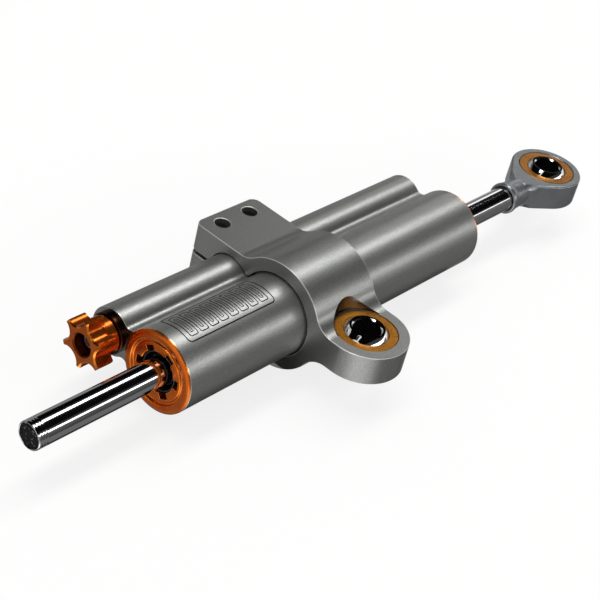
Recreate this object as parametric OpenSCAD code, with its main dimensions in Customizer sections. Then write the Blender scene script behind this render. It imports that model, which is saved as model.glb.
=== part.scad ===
// Motorcycle steering damper: a through-rod hydraulic damper with an adjuster beside it.
// The origin is the centre of the clamp's spherical bearing. X runs along the rod,
// towards the rod end, Z along the bearing's bore, and Y from the bearing to the body.
// All sizes are in millimetres.

/* [Body] */
// Length of the twin tube body
body_length = 157.5; // [154:0.5:162]
// Outer diameter of the main tube
tube_d = 30; // [29.5:0.1:30.6]
// Bore of the main tube
bore_d = 24; // [23.6:0.1:24.4]
// Outer diameter of the side tube
side_d = 17.8; // [17.4:0.1:18.2]
// Bore of the side tube at both ends
side_bore_d = 12; // [11.8:0.1:12.4]
// Side tube axis, measured across from the main axis
side_across = 22.7; // [22.4:0.1:23.2]
// Side tube axis, measured up from the main axis
side_up = 1.05; // [0.8:0.05:1.3]
// Radius of the two valleys between the tubes
valley_r = 3; // [2.6:0.1:3.6]
// Distance of each cross drilling from its end of the body
port_from_end = 30; // [29.5:0.1:31]
// Diameter of the cross drillings
port_d = 3; // [2.4:0.1:3.4]

/* [Rod] */
// Diameter of the through rod
rod_d = 10; // [9.8:0.1:10.2]
// Distance from the body's front face to the rod's free tip
rod_tip_out = 54.2; // [52:0.1:56]
// Clear rod between the rear cap and the rod end
rod_gap = 38; // [37:0.5:42]
// Travel of the rod, half each way from the drawn position
stroke = 68; // [60:1:70]

/* [Clamp] */
// Distance from the body's front face to the clamp's middle
clamp_from_front = 71.3; // [70:0.1:73]
// Width of the clamp along the body
clamp_w = 31; // [30:0.1:32]
// Distance from the bearing centre to the main axis
bearing_out = 28.9; // [28.6:0.1:29.4]
// Outer radius of the clamp's ring
ring_r = 20.7; // [20.4:0.1:21.2]
// Radius of the fillets between the ring, the ear and the jaws
fillet_r = 9.3; // [9:0.1:10]
// Thickness of the ear
ear_t = 11.2; // [11:0.1:12]
// Top of the upper jaw above the main axis
jaw_top = 13.5; // [13.2:0.1:14]
// Bottom of the lower jaw below the main axis
jaw_drop = 12.5; // [12:0.1:13]
// Metal left between the side tube's opening and the screw holes
screw_land = 0.9; // [0.8:0.1:1.5]
// Distance from the screws' axes to the outer side of the jaws
jaw_edge = 5.7; // [5.4:0.1:6.2]
// Height of the split between the jaws
split_gap = 1.5; // [1.2:0.1:1.8]
// Nominal diameter of the two clamp screws
clamp_screw_d = 6; // [5.8:0.1:6.2]
// Spacing of the two clamp screws
clamp_screw_pitch = 14.3; // [13.8:0.1:15]

/* [Bearings] */
// Diameter of both spherical balls
ball_d = 19.05; // [18.9:0.05:19.3]
// Width of both balls
ball_w = 14; // [13.8:0.1:14.4]
// Bore of both balls
ball_bore_d = 10; // [9.8:0.1:10.2]
// Width of both races
race_w = 10.7; // [10.5:0.1:10.9]
// Outer diameter of the clamp's race
clamp_race_d = 23; // [22.8:0.1:23.2]
// Outer diameter of the rod end's race
rod_end_race_d = 23.5; // [23.3:0.1:23.7]

/* [Rod end] */
// Outer radius of the rod end's head
head_r = 14.85; // [14.6:0.05:15.1]
// Thickness of the rod end's head
head_t = 11; // [10.9:0.1:11.4]
// Diameter of the rod end's neck
neck_d = 13.1; // [12.9:0.1:13.3]
// Distance from the neck's mouth to the bearing centre
neck_to_ball = 30.2; // [29.8:0.1:31]

/* [Adjuster] */
// Outer radius of the knob's six lobes
knob_r = 9.35; // [9.1:0.05:9.6]
// Thread lead that moves the needle
needle_lead = 1; // [0.8:0.1:1.1]
// Turns of the knob each way from the drawn position
knob_turns = 1.5; // [1:0.5:1.5]

/* [Hidden] */
$fn = 72;

// Fits. Press is for pieces that never move, run for pieces that slide or turn.
press = 0.02;
run = 0.03;
ball_run = 0.05;
seat_gap = 0.05;
over = 1;
// Fillet arcs are drawn this much larger, so that they cross what they meet.
cross = 0.03;

// Axes and ends of the body.
tube_r = tube_d / 2;
bore_r = bore_d / 2;
side_r = side_d / 2;
side_bore_r = side_bore_d / 2;
rod_r = rod_d / 2;
port_r = port_d / 2;
front_x = -clamp_from_front;
back_x = front_x + body_length;
middle_x = (front_x + back_x) / 2;
main = [bearing_out, 0];
side = [bearing_out + side_across, side_up];

// End caps and the thread that they screw into.
cap_flange_t = 1;
cap_flange_r = tube_r - 0.2;
cap_edge = 0.35;
cap_thread_r = bore_r + 1;
cap_thread_l = 9;
cap_mouth_r = 7.4;
cap_mouth_l = 4.2;
cap_inner_r = 9.9;
cap_skirt_l = 6.9;
notch_w = 3.4;
notch_r = 9.5;
notch_turn = -2.5;
groove_in = 11;
groove_out = 11.9;
groove_deep = 0.6;
land_deep = 0.35;

// Seal heads: a nose inside the cap, a flange on the step and a plug in the bore.
nose_r = cap_inner_r - 0.3;
nose_start = 2.8;
flange_l = 2;
head_l = 26;
pocket_r = 7.6;
wiper_end = 6.8;
seal_start = 8.4;
seal_end = 12.5;
bush_start = 14;
bush_end = 25;
bush_r = 6;
rod_relief = 0.3;
head_groove = [19, 21.2];
head_oring_r = 0.68;

// Cross drillings and their plugs.
port_plug_r = 2.5;
port_plug_l = 2.2;
port_z = side_up / 2;
port_plug_y = bearing_out + side_across + side_r - port_plug_l - 0.3;

// Piston, its ring, shims and circlips.
piston_w = 12;
piston_r = bore_r - 0.1;
ring_groove_w = 4.2;
ring_groove_r = bore_r - 1.8;
shim_t = 0.6;
shim_r = 9.3;
circlip_t = 1;
circlip_deep = 0.4;
circlip_out = 2;
oil_hole_r = 1;
oil_hole_at = 8;

// Rod: full diameter to the rod end, then a thread inside its neck.
rod_tip_x = front_x - rod_tip_out;
neck_x = back_x + cap_flange_t + rod_gap;
rod_shoulder_in = 2.8;
rod_thread_r = 4;
rod_thread_in = 14.5;
rod_shoulder_x = neck_x + rod_shoulder_in;
rod_thread_end_x = neck_x + rod_thread_in;
rod_tip_edge = 0.5;
tip_pocket_r = rod_r - 0.6;
tip_pocket_l = 3;

// Rod end.
ball_r = ball_d / 2;
eye_x = neck_x + neck_to_ball;
neck_r = neck_d / 2;
neck_end = 20;
neck_mouth_r = rod_r + 0.25;
neck_mouth_l = 3;
neck_edge = 0.6;
head_edge = 1;
bore_edge = 0.5;
race_edge = 0.3;

// Clamp.
clamp_bore_r = tube_r + 0.74;
side_clear = 0.4;
liner_inset = 0.4;
liner_reach = 11.5;
jaw_corner_r = 3.2;
split_z = 1.3;
screw_clear = 0.3;
screw_y = side[0] + side_r + side_clear + screw_land + clamp_screw_d / 2 + screw_clear;
jaw_out = screw_y + jaw_edge - bearing_out;
screw_head_r = 0.83 * clamp_screw_d;
screw_head_h = 4;
screw_socket_r = 2.9;
screw_socket_l = 2.4;
screw_tip_drop = 2.4;

// Adjuster. Distances run from the body's front face, into the body.
gland_flange_r = 7.4;
gland_flange_t = 2.2;
gland_l = 21.5;
gland_r = side_bore_r - press;
stem_r = 2.5;
collar_r = 3.7;
collar_start = 7.1;
collar_end = 9.6;
guide_start = 10;
guide_end = 18;
guide_bore_r = 4;
needle_r = 1.45;
key_w = 5.4;
key_h = 3;
key_start = 11.3;
key_end = 17;
needle_cone_start = 30.5;
needle_cone_end = 37;
needle_tip_r = 0.5;
valve_room_l = 32;
seat_start = 35;
seat_end = 39;
seat_r = 4;
orifice_r = 1.2;
passage_r = 2.5;
gland_oring_at = [13, 15];
gland_oring_r = 0.55;
stem_oring_at = [3, 4.6];
stem_oring_r = 0.58;
knob_face = -13;
knob_lobe_end = -5.7;
knob_back = -2.6;
knob_skirt_r = 6.9;
knob_edge = 0.8;
lobe_turn = 32;
lobes = 6;
scallop_r = 4.36;
scallop_at = knob_r + 1.31;
recess_r = 4;
recess_l = 5.9;
knob_screw_r = 1.25;
knob_screw_end = -3;
detent_at = 4.9;
detent_r = 0.8;
detent_pocket_l = 2;
clicks = 12;
click_r = 0.9;
click_deep = 0.25;

// Temperature reservoir at the rear of the side tube, measured from the rear face.
room_l = 33.5;
float_l = 6;
float_middle = 18.5;
float_r = side_bore_r - run;
float_groove = 1.2;
plug_l = 7.5;
plug_groove = [3.5, 5.3];
small_oring_r = 0.6;
plug_socket_r = 3;
plug_socket_l = 2.5;
bleed_r = 1.25;

// Round bar along X from x1 to x2 on an axis given as [y, z].
module bar(x1, x2, r, at = main) {
  translate([x1, at[0], at[1]]) rotate([0, 90, 0]) cylinder(h = x2 - x1, r = r);
}
// Cone along X.
module cone(x1, x2, r1, r2, at = main) {
  translate([x1, at[0], at[1]]) rotate([0, 90, 0]) cylinder(h = x2 - x1, r1 = r1, r2 = r2);
}
// Plain ring along X.
module ring(x1, x2, r_out, r_in, at = main) {
  difference() {
    bar(x1, x2, r_out, at);
    bar(x1 - over, x2 + over, r_in, at);
  }
}
// Round sealing ring about an axis along X.
module oring(x, middle_r, section_r, at = main) {
  translate([x, at[0], at[1]]) rotate([0, 90, 0])
    rotate_extrude() translate([middle_r, 0]) circle(r = section_r);
}
// Hexagon along X.
module hexagon(x1, x2, r, at = main) {
  translate([x1, at[0], at[1]]) rotate([0, 90, 0]) cylinder(h = x2 - x1, r = r, $fn = 6);
}
// A profile drawn in Y and Z, carried along X from x1 to x2.
module along(x1, x2) {
  translate([x1, 0, 0]) rotate([90, 0, 90]) linear_extrude(x2 - x1) children();
}
// The same piece at the rear of the body.
module at_rear() {
  translate([2 * middle_x, 0, 0]) mirror([1, 0, 0]) children();
}

// Where two circles cross, on the upper or lower side of the line between them.
function cross_point(a, ra, b, rb, up) =
  let (d = norm(b - a), u = (b - a) / d, t = (d * d + ra * ra - rb * rb) / (2 * d))
  a + u * t + up * sqrt(ra * ra - t * t) * [-u[1], u[0]];

// Outline of the twin tube: two circles joined by a concave fillet above and below.
// Polygons here go round anticlockwise.
module body_outline() {
  translate(main) circle(r = tube_r);
  translate(side) circle(r = side_r);
  for (up = [1, -1]) {
    f = cross_point(main, tube_r + valley_r, side, side_r + valley_r, up);
    difference() {
      polygon(up > 0 ? [main, side, f] : [main, f, side]);
      translate(f) circle(r = valley_r + cross);
    }
  }
}

// The opening that the clamp leaves for the body.
module clamp_opening() {
  translate(main) circle(r = clamp_bore_r);
  translate(side) circle(r = side_r + side_clear);
  for (up = [1, -1]) {
    f = cross_point(main, tube_r + valley_r, side, side_r + valley_r, up);
    difference() {
      polygon(up > 0 ? [main, side, f] : [main, f, side]);
      translate(f) circle(r = valley_r - side_clear + cross);
    }
  }
}

module cylinder_body() {
  color("silver") difference() {
    along(front_x, back_x) body_outline();
    bar(front_x - over, back_x + over, bore_r);
    bar(front_x - over, front_x + cap_thread_l, cap_thread_r);
    bar(back_x - cap_thread_l, back_x + over, cap_thread_r);
    bar(front_x - over, front_x + valve_room_l, side_bore_r, side);
    bar(front_x + valve_room_l - over, front_x + seat_end, seat_r, side);
    bar(front_x + seat_end - over, back_x - room_l + over, passage_r, side);
    bar(back_x - room_l, back_x + over, side_bore_r, side);
    for (x = [front_x + port_from_end, back_x - port_from_end]) {
      translate([x, bearing_out + bore_r - over, port_z]) rotate([-90, 0, 0])
        cylinder(h = side_across + over, r = port_r);
      translate([x, port_plug_y - seat_gap, port_z]) rotate([-90, 0, 0])
        cylinder(h = side_d, r = port_plug_r);
    }
  }
}

module port_plug(x) {
  color("dimgray") difference() {
    translate([x, port_plug_y, port_z]) rotate([-90, 0, 0])
      cylinder(h = port_plug_l, r = port_plug_r - press);
    translate([x, port_plug_y + port_plug_l / 2, port_z]) rotate([-90, 0, 0])
      cylinder(h = port_plug_l, r = port_plug_r / 2, $fn = 6);
  }
}
module port_plug_front() { port_plug(front_x + port_from_end); }
module port_plug_rear() { port_plug(back_x - port_from_end); }

// End cap: a thin flange over the tube's end and a threaded skirt inside it.
module end_cap() {
  color("darkorange") difference() {
    union() {
      bar(front_x - cap_flange_t + cap_edge, front_x, cap_flange_r);
      cone(front_x - cap_flange_t, front_x - cap_flange_t + cap_edge,
           cap_flange_r - cap_edge, cap_flange_r);
      bar(front_x - cap_edge, front_x + cap_skirt_l, cap_thread_r - press);
    }
    bar(front_x - over - cap_flange_t, front_x + cap_mouth_l, cap_mouth_r);
    bar(front_x - cap_flange_t + cap_mouth_l - over, front_x + cap_skirt_l + over, cap_inner_r);
    ring(front_x - over - cap_flange_t, front_x - cap_flange_t + groove_deep,
         groove_out, groove_in);
    bar(front_x - over - cap_flange_t, front_x - cap_flange_t + land_deep, groove_in + over / 2);
    for (k = [0 : 5])
      translate([front_x - cap_flange_t - over, main[0], main[1]])
        rotate([notch_turn + 60 * k, 0, 0]) translate([0, 0, -notch_w / 2])
          cube([cap_mouth_l + 2 * over, notch_r, notch_w]);
  }
}
module front_end_cap() { end_cap(); }
module rear_end_cap() { at_rear() end_cap(); }

module seal_head() {
  color("#333333") difference() {
    union() {
      bar(front_x + nose_start + cap_mouth_l - 3.8, front_x + cap_skirt_l + seat_gap, nose_r);
      bar(front_x + cap_skirt_l + seat_gap, front_x + cap_thread_l - seat_gap,
          cap_thread_r - press);
      bar(front_x + cap_thread_l - seat_gap - over / 2, front_x + head_l, bore_r - press);
    }
    bar(front_x, front_x + head_l + over, rod_r + rod_relief);
    bar(front_x, front_x + wiper_end, pocket_r);
    bar(front_x + seal_start, front_x + seal_end, pocket_r);
    bar(front_x + bush_start, front_x + bush_end, bush_r);
    ring(front_x + head_groove[0], front_x + head_groove[1], bore_r + over,
         bore_r - 2 * head_oring_r - seat_gap);
  }
}
module front_seal_head() { seal_head(); }
module rear_seal_head() { at_rear() seal_head(); }

// Wiper: a ring with a raised lip round the rod and a groove behind it.
module wiper() {
  color("#1a1a1a") difference() {
    union() {
      bar(front_x + nose_start + 0.9, front_x + wiper_end - seat_gap, pocket_r - press);
      cone(front_x + nose_start - 0.4, front_x + nose_start + 1.4, rod_r + 0.5, rod_r + 1.3);
    }
    bar(front_x, front_x + wiper_end, rod_r + run);
    ring(front_x, front_x + nose_start + 1.7, pocket_r - 0.6, rod_r + 1.4);
  }
}
module front_wiper() { wiper(); }
module rear_wiper() { at_rear() wiper(); }

// Rod seal: a ring with an open groove on its oil side.
module rod_seal() {
  color("#262626") difference() {
    ring(front_x + seal_start + seat_gap, front_x + seal_end - seat_gap,
         pocket_r - press, rod_r + run);
    ring(front_x + seal_end - 2, front_x + seal_end + over,
         pocket_r - 0.8, rod_r + 0.9);
  }
}
module front_rod_seal() { rod_seal(); }
module rear_rod_seal() { at_rear() rod_seal(); }

module guide_bush() {
  color("#8c6a2f") ring(front_x + bush_start + seat_gap, front_x + bush_end - seat_gap,
                        bush_r - press, rod_r + run);
}
module front_guide_bush() { guide_bush(); }
module rear_guide_bush() { at_rear() guide_bush(); }

module head_oring() {
  color("black") oring(front_x + (head_groove[0] + head_groove[1]) / 2,
                       bore_r - head_oring_r - press, head_oring_r);
}
module front_head_oring() { head_oring(); }
module rear_head_oring() { at_rear() head_oring(); }

// Piston, fixed on the rod between two circlips and drilled for the oil.
module piston() {
  color("#b0b4b8") difference() {
    bar(middle_x - piston_w / 2, middle_x + piston_w / 2, piston_r);
    bar(middle_x - piston_w, middle_x + piston_w, rod_r + press);
    ring(middle_x - ring_groove_w / 2, middle_x + ring_groove_w / 2, bore_r, ring_groove_r);
    for (k = [0 : 5])
      translate([middle_x - piston_w, main[0], main[1]]) rotate([60 * k, 0, 0])
        translate([0, oil_hole_at, 0]) rotate([0, 90, 0])
          cylinder(h = 2 * piston_w, r = oil_hole_r);
  }
}
module piston_ring() {
  color("#5a4a30") ring(middle_x - ring_groove_w / 2 + seat_gap,
                        middle_x + ring_groove_w / 2 - seat_gap,
                        bore_r - run, ring_groove_r + run);
}
module shims() {
  color("#9aa0a6") ring(middle_x - piston_w / 2 - shim_t, middle_x - piston_w / 2 - 0.01,
                        shim_r, rod_r + press);
}
module front_shims() { shims(); }
module rear_shims() { at_rear() shims(); }
module circlip() {
  x1 = middle_x - piston_w / 2 - shim_t - seat_gap - circlip_t;
  color("#3c3f42") difference() {
    ring(x1, x1 + circlip_t, rod_r + circlip_out, rod_r - circlip_deep + press);
    translate([x1 - over, main[0] - 1.5, 0]) cube([circlip_t + 2 * over, 3, 2 * rod_r]);
  }
}
module front_circlip() { circlip(); }
module rear_circlip() { at_rear() circlip(); }

// Through rod: chamfered tip with a pocket, two circlip grooves, thread in the rod end.
module piston_rod() {
  clip_x = piston_w / 2 + shim_t + seat_gap + circlip_t / 2;
  color("gainsboro") difference() {
    union() {
      cone(rod_tip_x, rod_tip_x + rod_tip_edge, rod_r - rod_tip_edge, rod_r);
      bar(rod_tip_x + rod_tip_edge, rod_shoulder_x, rod_r);
      bar(rod_shoulder_x - over, rod_thread_end_x, rod_thread_r - press);
    }
    bar(rod_tip_x - over, rod_tip_x + tip_pocket_l, tip_pocket_r);
    for (s = [-1, 1])
      ring(middle_x + s * clip_x - circlip_t / 2 - seat_gap,
           middle_x + s * clip_x + circlip_t / 2 + seat_gap, rod_r + over, rod_r - circlip_deep);
  }
}
module rod_tip_plug() {
  color("#202020") bar(rod_tip_x + 0.25, rod_tip_x + tip_pocket_l - seat_gap,
                       tip_pocket_r - press);
}

// Ball of a spherical bearing, centred on the origin, with its bore along Z.
module ball() {
  difference() {
    intersection() {
      sphere(r = ball_r);
      translate([-ball_r, -ball_r, -ball_w / 2]) cube([ball_d, ball_d, ball_w]);
    }
    translate([0, 0, -ball_w]) cylinder(h = 2 * ball_w, r = ball_bore_d / 2);
    for (s = [0, 1]) mirror([0, 0, s])
      translate([0, 0, ball_w / 2 - bore_edge])
        cylinder(h = 2 * bore_edge, r1 = ball_bore_d / 2, r2 = ball_bore_d / 2 + 2 * bore_edge);
  }
}
// Race of a spherical bearing, centred on the origin.
module race(d) {
  difference() {
    union() {
      translate([0, 0, -race_w / 2 + race_edge])
        cylinder(h = race_w - 2 * race_edge, r = d / 2 - press);
      for (s = [0, 1]) mirror([0, 0, s])
        translate([0, 0, race_w / 2 - race_edge])
          cylinder(h = race_edge, r1 = d / 2 - press, r2 = d / 2 - press - race_edge);
    }
    sphere(r = ball_r + ball_run);
  }
}
module clamp_ball() { color("whitesmoke") ball(); }
module clamp_race() { color("#a8742a") race(clamp_race_d); }
module rod_end_ball() { color("whitesmoke") translate([eye_x, bearing_out, 0]) ball(); }
module rod_end_race() {
  color("#a8742a") translate([eye_x, bearing_out, 0]) race(rod_end_race_d);
}

// Rod end: a round head that tapers straight into a neck round the rod's thread.
module rod_end_housing() {
  shoulder = [-neck_end + 1.5, neck_r - 0.15];
  reach = norm(shoulder);
  turn = atan2(shoulder[1], shoulder[0]) - acos(head_r / reach);
  touch = head_r * [cos(turn), sin(turn)];
  color("#7a7c80") difference() {
    union() {
      translate([eye_x, bearing_out, 0]) {
        rounded_disc(head_r, head_t, head_edge);
        translate([0, 0, -head_t / 2]) linear_extrude(head_t)
          polygon([[0, 0], touch, shoulder, [-neck_end, neck_r - 1.6],
                   [-neck_end, 1.6 - neck_r], [shoulder[0], -shoulder[1]],
                   [touch[0], -touch[1]]]);
      }
      bar(neck_x + neck_edge, eye_x - neck_end + 0.2, neck_r);
      cone(neck_x, neck_x + neck_edge, neck_r - neck_edge, neck_r);
    }
    bar(neck_x - over, neck_x + neck_mouth_l, neck_mouth_r);
    bar(neck_x, rod_thread_end_x + over, rod_thread_r);
    translate([eye_x, bearing_out, -head_t]) cylinder(h = 2 * head_t, r = rod_end_race_d / 2);
    for (s = [0, 1]) mirror([0, 0, s])
      translate([eye_x, bearing_out, head_t / 2 - race_edge])
        cylinder(h = 2 * race_edge, r1 = rod_end_race_d / 2,
                 r2 = rod_end_race_d / 2 + 2 * race_edge);
  }
}
// Disc on the origin with rounded rims.
module rounded_disc(r, t, edge) {
  rotate_extrude() {
    translate([0, edge - t / 2]) square([r, t - 2 * edge]);
    translate([0, -t / 2]) square([r - edge, t]);
    for (s = [-1, 1]) translate([r - edge, s * (t / 2 - edge)]) circle(r = edge);
  }
}

// Fillet between the clamp's ring and a flat face at height h, on one side of it.
module ring_fillet(h, toward) {
  f = [bearing_out + toward * sqrt(pow(ring_r + fillet_r, 2) - pow(h + fillet_r, 2)),
       h + fillet_r];
  difference() {
    polygon(toward > 0 ? [main, [f[0], 0], f] : [main, f, [f[0], 0]]);
    translate(f) circle(r = fillet_r + cross);
  }
}
module clamp_outline() {
  translate(main) circle(r = ring_r);
  translate([-clamp_w / 2, -ear_t / 2]) square([bearing_out + clamp_w / 2, ear_t]);
  translate([bearing_out, -jaw_drop]) square([jaw_out, jaw_top + jaw_drop]);
  ring_fillet(jaw_top, 1);
  ring_fillet(ear_t / 2, -1);
  mirror([0, 1]) ring_fillet(jaw_drop, 1);
  mirror([0, 1]) ring_fillet(ear_t / 2, -1);
}
// The clamp seen from above: a round ear and two rounded corners at the jaws.
module clamp_plan() {
  w = clamp_w / 2;
  outer = bearing_out + jaw_out;
  circle(r = w);
  translate([-w, 0]) square([clamp_w, outer - jaw_corner_r]);
  translate([-w + jaw_corner_r, 0]) square([clamp_w - 2 * jaw_corner_r, outer]);
  for (s = [-1, 1])
    translate([s * (w - jaw_corner_r), outer - jaw_corner_r]) circle(r = jaw_corner_r);
}
module clamp_bracket() {
  color("#8a8c8e") difference() {
    intersection() {
      along(-clamp_w / 2, clamp_w / 2) difference() {
        clamp_outline();
        clamp_opening();
        translate([side[0], split_z]) square([jaw_out, split_gap]);
      }
      translate([0, 0, -2 * ring_r]) linear_extrude(4 * ring_r) clamp_plan();
    }
    translate([0, 0, -ring_r]) cylinder(h = 2 * ring_r, r = clamp_race_d / 2);
    for (s = [-1, 1]) translate([s * clamp_screw_pitch / 2, screw_y, 0]) {
      cylinder(h = jaw_top + over, r = clamp_screw_d / 2);
      translate([0, 0, -jaw_drop - over])
        cylinder(h = jaw_drop + split_z + over, r = clamp_screw_d / 2 + screw_clear);
    }
  }
}
module clamp_liner() {
  color("#1c1c1c") difference() {
    ring(-clamp_w / 2 + liner_inset, clamp_w / 2 - liner_inset,
         clamp_bore_r - press, tube_r + press);
    translate([-clamp_w, bearing_out + liner_reach, -ring_r])
      cube([2 * clamp_w, ring_r, 2 * ring_r]);
  }
}
// Socket head screw, put in from below.
module clamp_screw(x) {
  color("#2c2e30") translate([x, screw_y, 0]) difference() {
    union() {
      translate([0, 0, -jaw_drop - screw_head_h])
        cylinder(h = screw_head_h - 0.01, r = screw_head_r);
      translate([0, 0, -jaw_drop - over])
        cylinder(h = jaw_drop + over + jaw_top - screw_tip_drop, r = clamp_screw_d / 2 - press);
    }
    translate([0, 0, -jaw_drop - screw_head_h - over])
      cylinder(h = screw_socket_l + over, r = screw_socket_r, $fn = 6);
  }
}
module clamp_screw_front() { clamp_screw(-clamp_screw_pitch / 2); }
module clamp_screw_rear() { clamp_screw(clamp_screw_pitch / 2); }

// Adjuster housing: a black flange on the body's face and a sleeve in the side bore.
module adjuster_housing() {
  color("#202124") difference() {
    union() {
      bar(front_x - gland_flange_t, front_x - 0.01, gland_flange_r, side);
      bar(front_x - over, front_x + gland_l, gland_r, side);
    }
    bar(front_x - gland_flange_t - over, front_x + collar_start + over, stem_r + run, side);
    bar(front_x + collar_start - seat_gap, front_x + gland_l + over, guide_bore_r, side);
    bar(front_x + stem_oring_at[0], front_x + stem_oring_at[1],
        stem_r + 2 * stem_oring_r + 3 * press, side);
    ring(front_x + gland_oring_at[0], front_x + gland_oring_at[1], side_bore_r + over,
         side_bore_r - 2 * gland_oring_r - seat_gap, side);
    bar(front_x - gland_flange_t - over, front_x + detent_pocket_l, detent_r + seat_gap,
        side - [0, detent_at]);
  }
}
module housing_oring() {
  color("black") oring(front_x + (gland_oring_at[0] + gland_oring_at[1]) / 2,
                       side_bore_r - gland_oring_r - press, gland_oring_r, side);
}
module spindle_oring() {
  color("black") oring(front_x + (stem_oring_at[0] + stem_oring_at[1]) / 2,
                       stem_r + stem_oring_r + run, stem_oring_r, side);
}
module needle_guide() {
  color("#c9a55a") difference() {
    bar(front_x + guide_start, front_x + guide_end, guide_bore_r - press, side);
    translate([front_x + guide_start - over, side[0] - key_w / 2 - run, side[1] - key_h / 2 - run])
      cube([guide_end - guide_start + 2 * over, key_w + 2 * run, key_h + 2 * run]);
  }
}
module valve_seat() {
  color("#b9bcc0") difference() {
    bar(front_x + seat_start, front_x + seat_end - seat_gap, seat_r - press, side);
    bar(front_x + seat_start - over, front_x + seat_end + over, orifice_r, side);
    cone(front_x + seat_start - over, front_x + seat_start + 0.6, orifice_r + 1.6, orifice_r, side);
  }
}
module detent_ball() {
  color("whitesmoke") translate([front_x + knob_back + seat_gap + detent_r, side[0],
                                 side[1] - detent_at]) sphere(r = detent_r);
}
module detent_spring() {
  color("#6a6e72") ring(front_x + knob_back + 2 * detent_r + 0.3,
                        front_x + detent_pocket_l - seat_gap, detent_r - press, detent_r - 0.3,
                        side - [0, detent_at]);
}

// Knob outline: a round with six scallops, which leave the lobes between them.
module knob_outline() {
  translate(side) difference() {
    circle(r = knob_r);
    for (k = [0 : lobes - 1])
      rotate(lobe_turn + (k + 0.5) * 360 / lobes) translate([scallop_at, 0])
        circle(r = scallop_r);
  }
}
// Knob: lobes with a chamfered front, a round skirt, a recess and click dimples.
module adjuster_knob() {
  x1 = front_x + knob_face;
  color("orangered") difference() {
    union() {
      intersection() {
        along(x1, front_x + knob_lobe_end) knob_outline();
        union() {
          cone(x1, x1 + knob_edge, knob_r - knob_edge, knob_r + cross, side);
          bar(x1 + knob_edge, front_x, knob_r + cross, side);
        }
      }
      bar(front_x + knob_lobe_end - over, front_x + knob_back, knob_skirt_r, side);
    }
    for (k = [0 : lobes - 1])
      translate([x1, side[0], side[1]]) rotate([lobe_turn + (k + 0.5) * 360 / lobes, 0, 0])
        cone(-over, knob_edge + cross, scallop_r + knob_edge + over, scallop_r - cross,
             [scallop_at, 0]);
    bar(x1 - over, x1 + recess_l, recess_r, side);
    cone(x1 - over, x1 + 0.5, recess_r + 0.5 + over, recess_r, side);
    bar(x1, front_x + knob_back + over, stem_r + press, side);
    for (k = [0 : clicks - 1])
      translate([front_x + knob_back + click_r - click_deep, side[0], side[1]])
        rotate([k * 360 / clicks - 90, 0, 0]) translate([0, detent_at, 0]) sphere(r = click_r);
  }
}
module knob_screw() {
  x1 = front_x + knob_face + recess_l;
  color("#c8cacc") difference() {
    union() {
      bar(x1 - 2.3, x1 - 0.01, 2.95, side);
      bar(x1 - over, front_x + knob_screw_end, knob_screw_r - press, side);
    }
    hexagon(x1 - 3.3, x1 - 0.9, 1.9, side);
  }
}
module adjuster_spindle() {
  color("#a3a6aa") difference() {
    union() {
      bar(front_x + knob_face + recess_l + seat_gap, front_x + collar_end, stem_r, side);
      bar(front_x + collar_start, front_x + collar_end, collar_r, side);
    }
    bar(front_x + knob_face, front_x + knob_screw_end + over / 2, knob_screw_r, side);
    bar(front_x - over, front_x + collar_end + over, needle_r + run, side);
  }
}
// Needle: threaded end in the spindle, a flat key in the guide, a cone at the seat.
module adjuster_needle() {
  color("#d0d2d4") union() {
    bar(front_x + over, front_x + key_start + over, needle_r, side);
    translate([front_x + key_start, side[0] - key_w / 2, side[1] - key_h / 2])
      cube([key_end - key_start, key_w, key_h]);
    bar(front_x + key_end - over, front_x + needle_cone_start, needle_r, side);
    cone(front_x + needle_cone_start, front_x + needle_cone_end, needle_r, needle_tip_r, side);
  }
}

// Reservoir: a plug at the rear face and a floating piston with its sealing ring.
module reservoir_plug() {
  color("#2a2c2f") difference() {
    bar(back_x - plug_l, back_x, side_bore_r - press, side);
    ring(back_x - plug_groove[1], back_x - plug_groove[0], side_bore_r + over,
         side_bore_r - 2 * small_oring_r - seat_gap, side);
    hexagon(back_x - plug_socket_l, back_x + over, plug_socket_r, side);
    bar(back_x - plug_l - over, back_x, bleed_r, side);
  }
}
module plug_oring() {
  color("black") oring(back_x - (plug_groove[0] + plug_groove[1]) / 2,
                       side_bore_r - small_oring_r - press, small_oring_r, side);
}
module bleed_screw() {
  color("#8d9094") difference() {
    bar(back_x - plug_l + 0.5, back_x - plug_socket_l - 0.3, bleed_r - press, side);
    hexagon(back_x - plug_socket_l - 1.2, back_x, 0.7, side);
  }
}
module reservoir_piston() {
  x = back_x - float_middle;
  color("#b8bbbf") difference() {
    bar(x - float_l / 2, x + float_l / 2, float_r, side);
    ring(x - 0.9, x + 0.9, side_bore_r + over, side_bore_r - 2 * small_oring_r - seat_gap, side);
    bar(x + 1.4, x + float_l, 3, side);
  }
}
module reservoir_oring() {
  color("black") oring(back_x - float_middle, side_bore_r - small_oring_r - run,
                       small_oring_r, side);
}

clamp_ball();
clamp_race();
clamp_bracket();
clamp_liner();
clamp_screw_front();
clamp_screw_rear();
cylinder_body();
port_plug_front();
port_plug_rear();
front_end_cap();
front_seal_head();
front_wiper();
front_rod_seal();
front_guide_bush();
front_head_oring();
rear_end_cap();
rear_seal_head();
rear_wiper();
rear_rod_seal();
rear_guide_bush();
rear_head_oring();
adjuster_housing();
housing_oring();
spindle_oring();
needle_guide();
valve_seat();
detent_ball();
detent_spring();
adjuster_knob();
knob_screw();
adjuster_spindle();
adjuster_needle();
reservoir_plug();
plug_oring();
bleed_screw();
reservoir_piston();
reservoir_oring();
piston_ring();
piston();
front_shims();
rear_shims();
front_circlip();
rear_circlip();
piston_rod();
rod_tip_plug();
rod_end_housing();
rod_end_race();
rod_end_ball();
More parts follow.
